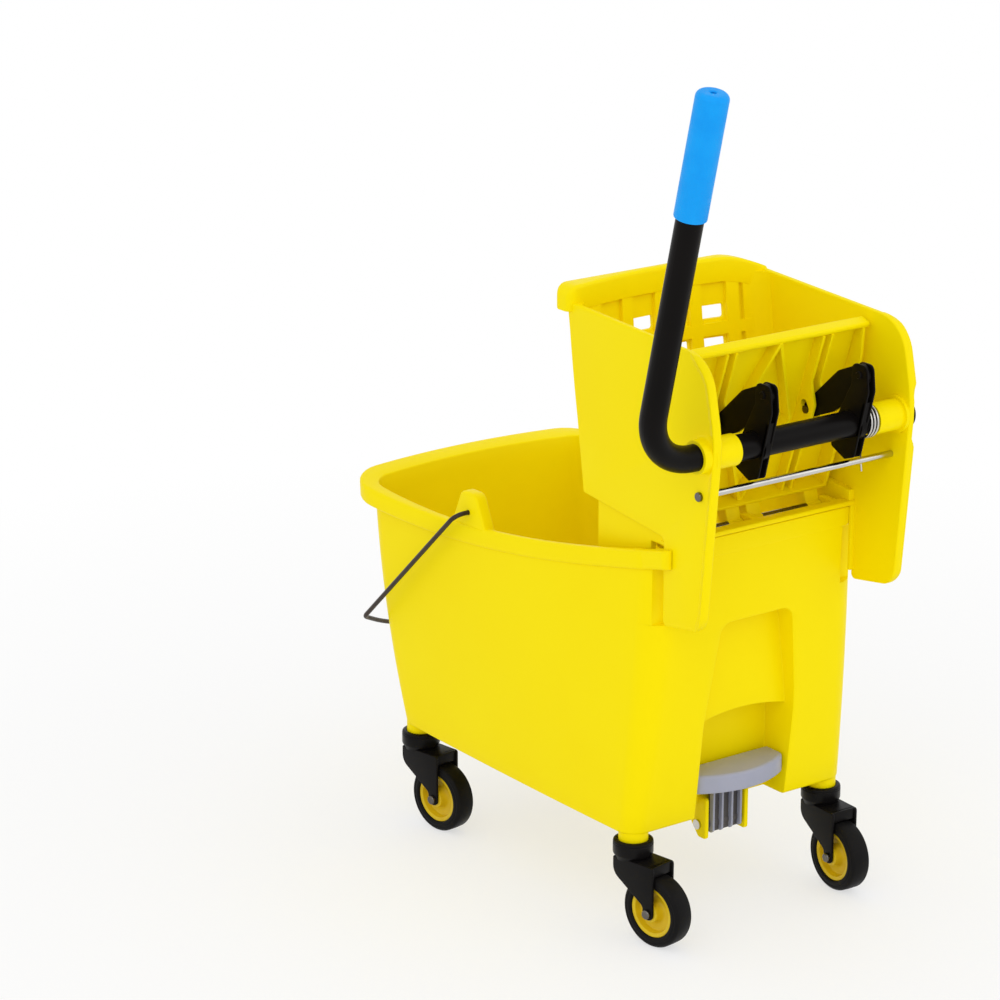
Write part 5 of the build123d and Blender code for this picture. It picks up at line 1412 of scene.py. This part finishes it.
# casters: fork with crown, hood and collar, dished hub and round-shouldered tyre
caster = {
    "places": {"rear_near": (190, -126.5, 9.5), "front_near": (-190, -126.5, 8.7),
               "rear_far": (190, 126.5, -2.7), "front_far": (-190, 126.5, 4.0)},
    "axleZ": 38, "trail": 35, "gap": 27, "wall": 3.2, "endR": 6.8, "lead": 13, "brow": 15, "under": 86,
    "top": 89.2, "collarTop": 107.2, "collarR": 21, "recess": 3, "socketR": 15.8, "stemR": 5.6,
    "hood": 8.5, "axleR": 4, "tyreR": 38, "tyreHalf": 12, "rimR": 27, "shoulder": 5,
    # the dished hub from its bore outwards: radius, and distance from the wheel's middle
    "hub": [(4.05, 13.1), (8.4, 13.1), (9.6, 12.5), (10.4, 8), (11.6, 4), (13, 3), (19.5, 3), (21, 3.8),
            (22, 7), (22.6, 9.4), (23.6, 10)],
}


def casterPlace(x, y, turn):
    c, s = math.cos(math.radians(turn)), math.sin(math.radians(turn))
    return lambda u, v, w: (x + u * c - v * s, y + u * s + v * c, w)


def addFork(shape):
    k = caster
    half = k["gap"] / 2
    back, lead = k["trail"] + k["endR"], k["trail"] - k["endR"]
    eyeLow, eyeHigh = k["axleZ"] - k["endR"], k["axleZ"] + k["endR"]
    cheek = roundOutline([(-k["lead"], k["top"]), (-k["lead"], k["under"] - k["brow"]), (lead, eyeHigh),
                          (lead, eyeLow), (back, eyeLow), (back, k["top"])],
                         [2, k["brow"], 6, k["endR"] * 0.95, k["endR"] * 0.95, 3])
    hole = circleOutline(k["trail"], k["axleZ"], k["axleR"], 24)
    addMirror(shape, lambda part: addPlate(part, cheek, xzPlace, half, half + k["wall"], 1, [hole]))
    across = (-half - 2, half + 2)
    crown = k["top"] - 0.05
    addBox(shape, (-k["lead"] + 0.5, back - k["wall"]), across, (k["under"], crown), 0.8)
    addBox(shape, (back - 2 * k["wall"], back - k["wall"] / 2), across,
           (k["top"] - k["wall"] - k["hood"], crown), 0.8)
    r, top, socket = k["collarR"], k["top"], k["socketR"]
    low, high = k["under"] + 0.5, k["collarTop"]
    bed = high - k["recess"]
    profile = [(k["stemR"], low), (r - 3, low), (r - 2.2, top + 0.2), (r - 0.6, top + 2.4), (r, top + 4),
               (r, high - 4.6), (r - 0.5, high - 4), (r - 0.5, high - 3.4), (r, high - 2.8),
               (r - 0.5, high - 1), (r - 1.8, high - 0.2), (r - 3, high), (socket + 0.6, high),
               (socket, high - 0.6), (socket, bed), (k["stemR"], bed)]
    addLathe(shape, profile, (0, 0, 0), (0, 0, 1), 56, closed=True)


def addTyre(shape):
    k = caster
    h, r, rim, soft = k["tyreHalf"], k["tyreR"], k["rimR"], k["shoulder"]
    inner = r - soft
    profile = [(rim, -h + 1), (rim + 1, -h), (inner - 1.4, -h), (inner - 0.7, -h + 0.5)]
    for angle in range(-80, 81, 16):
        t = math.radians(angle)
        side = (angle > 0) - (angle < 0)
        profile.append((inner + soft * math.cos(t) - 0.25 * abs(math.sin(t)),
                        (h - soft) * side + soft * math.sin(t)))
    profile.extend([(inner - 0.7, h - 0.5), (inner - 1.4, h), (rim + 1, h), (rim, h - 1)])
    addLathe(shape, profile, (k["trail"], 0, k["axleZ"]), (0, 1, 0), 80, closed=True)


def addHub(shape):
    k = caster
    rim = k["rimR"]
    half = k["hub"] + [(rim - 0.6, 10), (rim, 9.4)]
    profile = half + [(r, -y) for r, y in reversed(half)]
    addLathe(shape, profile, (k["trail"], 0, k["axleZ"]), (0, 1, 0), 72, closed=True)


def makeCasters():
    for place, (x, y, turn) in caster["places"].items():
        put = casterPlace(x, y, turn)
        for name, make, slotName, body, node, angle in (
                ("casterFork_", addFork, "black_plastic", "caster_", "fork_", 38),
                ("casterTyre_", addTyre, "tyre", "wheel_", "tyre_", 50),
                ("casterHub_", addHub, "hub_yellow", "wheel_", "hub_", 40)):
            shape = newShape()
            make(shape)
            shape["points"] = [put(*point) for point in shape["points"]]
            finishPiece(makeObject(name + place, shape, angle), slotName, body + place, [node + place])


makeCasters()

# the nodes whose CAD shape is right keep it and take their finish; the axle bolts, nose pins and tie caps
# take dark steel, and the hinge rod takes dark steel as painted shade in the gaps round it
darkSteelAndShadeNodes = ("axle", "nose_pin", "tie_cap", "hinge_rod")
for node, obj in nodes.items():
    # dark steel here is partly painted shade: on the hinge rod it stands in for the shadow in the gaps round
    # it
    if node.startswith(darkSteelAndShadeNodes):
        finish = "dark_steel"
    elif node.startswith("crank_rivet"):
        finish = "black_metal"
    else:
        finish = slotOf[node]
    for index in range(len(obj.data.materials)):
        obj.data.materials[index] = finishes[finish]

# floor, backdrop and soft studio light
studio = {"floorSize": 14.0, "floorColour": rgb(247, 247, 247), "worldLevel": 0.86, "nearGlow": 0.62,
          "nearRadius": 0.35, "farRadius": 1.5,
          "keyPower": 31, "keyPlace": (2.6, -3.2, 3.4), "keySize": 3.0,
          "fillPower": 12.5, "fillPlace": (3.4, 1.6, 2.2), "fillSize": 2.6}


# seen rays: what the camera, a mirror or glass looks at
def seenRays(tree):
    path = addNode(tree, "LightPath")
    seen = mathNode(tree, "MAXIMUM", path.outputs["Is Camera Ray"], path.outputs["Is Glossy Ray"])
    return mathNode(tree, "MAXIMUM", seen, path.outputs["Is Transmission Ray"])


# the floor fades from its own shaded surface near the object to plain white further off
def makeFloor(s):
    mesh = bpy.data.meshes.new("paleFloor")
    half = s["floorSize"] / 2
    corners = [(-half, -half, 0), (half, -half, 0), (half, half, 0), (-half, half, 0)]
    mesh.from_pydata(corners, [], [(0, 1, 2, 3)])
    floor = link("paleFloor", mesh)
    material = bpy.data.materials.new("paleFloor")
    material.use_nodes = True
    tree = material.node_tree
    shader = tree.nodes["Principled BSDF"]
    shader.inputs["Base Color"].default_value = s["floorColour"]
    shader.inputs["Roughness"].default_value = 0.7
    shader.inputs["Specular IOR Level"].default_value = 0.1
    length = addNode(tree, "VectorMath", operation="LENGTH")
    wire(tree, addNode(tree, "TexCoord").outputs["Object"], length.inputs[0])
    glow = ramp(tree, length.outputs["Value"], s["nearRadius"], s["farRadius"], s["nearGlow"], 1.0)
    white = addNode(tree, "Emission")
    white.inputs["Strength"].default_value = 1.0
    blend = addNode(tree, "MixShader")
    wire(tree, mathNode(tree, "MULTIPLY", glow, seenRays(tree)), blend.inputs["Fac"])
    wire(tree, shader.outputs["BSDF"], blend.inputs[1])
    wire(tree, white.outputs["Emission"], blend.inputs[2])
    wire(tree, blend.outputs["Shader"], tree.nodes["Material Output"].inputs["Surface"])
    mesh.materials.append(material)


def makeLamp(name, power, place, size, target):
    data = bpy.data.lights.new(name, "AREA")
    data.energy = power
    data.size = size
    lamp = bpy.data.objects.new(name, data)
    lamp.location = place
    lamp.rotation_euler = (Vector(target) - Vector(place)).to_track_quat("-Z", "Y").to_euler()
    bpy.context.scene.collection.objects.link(lamp)


def makeWorld(s):
    world = bpy.data.worlds.new("studio")
    bpy.context.scene.world = world
    world.use_nodes = True
    tree = world.node_tree
    back = tree.nodes["Background"]
    level = ramp(tree, seenRays(tree), 0, 1, s["worldLevel"], 1.0)
    back.inputs["Color"].default_value = (1, 1, 1, 1)
    wire(tree, level, back.inputs["Strength"])


makeFloor(studio)
makeWorld(studio)
middle = (0.05, 0, 0.42)
makeLamp("keyLight", studio["keyPower"], studio["keyPlace"], studio["keySize"], middle)
makeLamp("fillLight", studio["fillPower"], studio["fillPlace"], studio["fillSize"], middle)
print("studio lit")
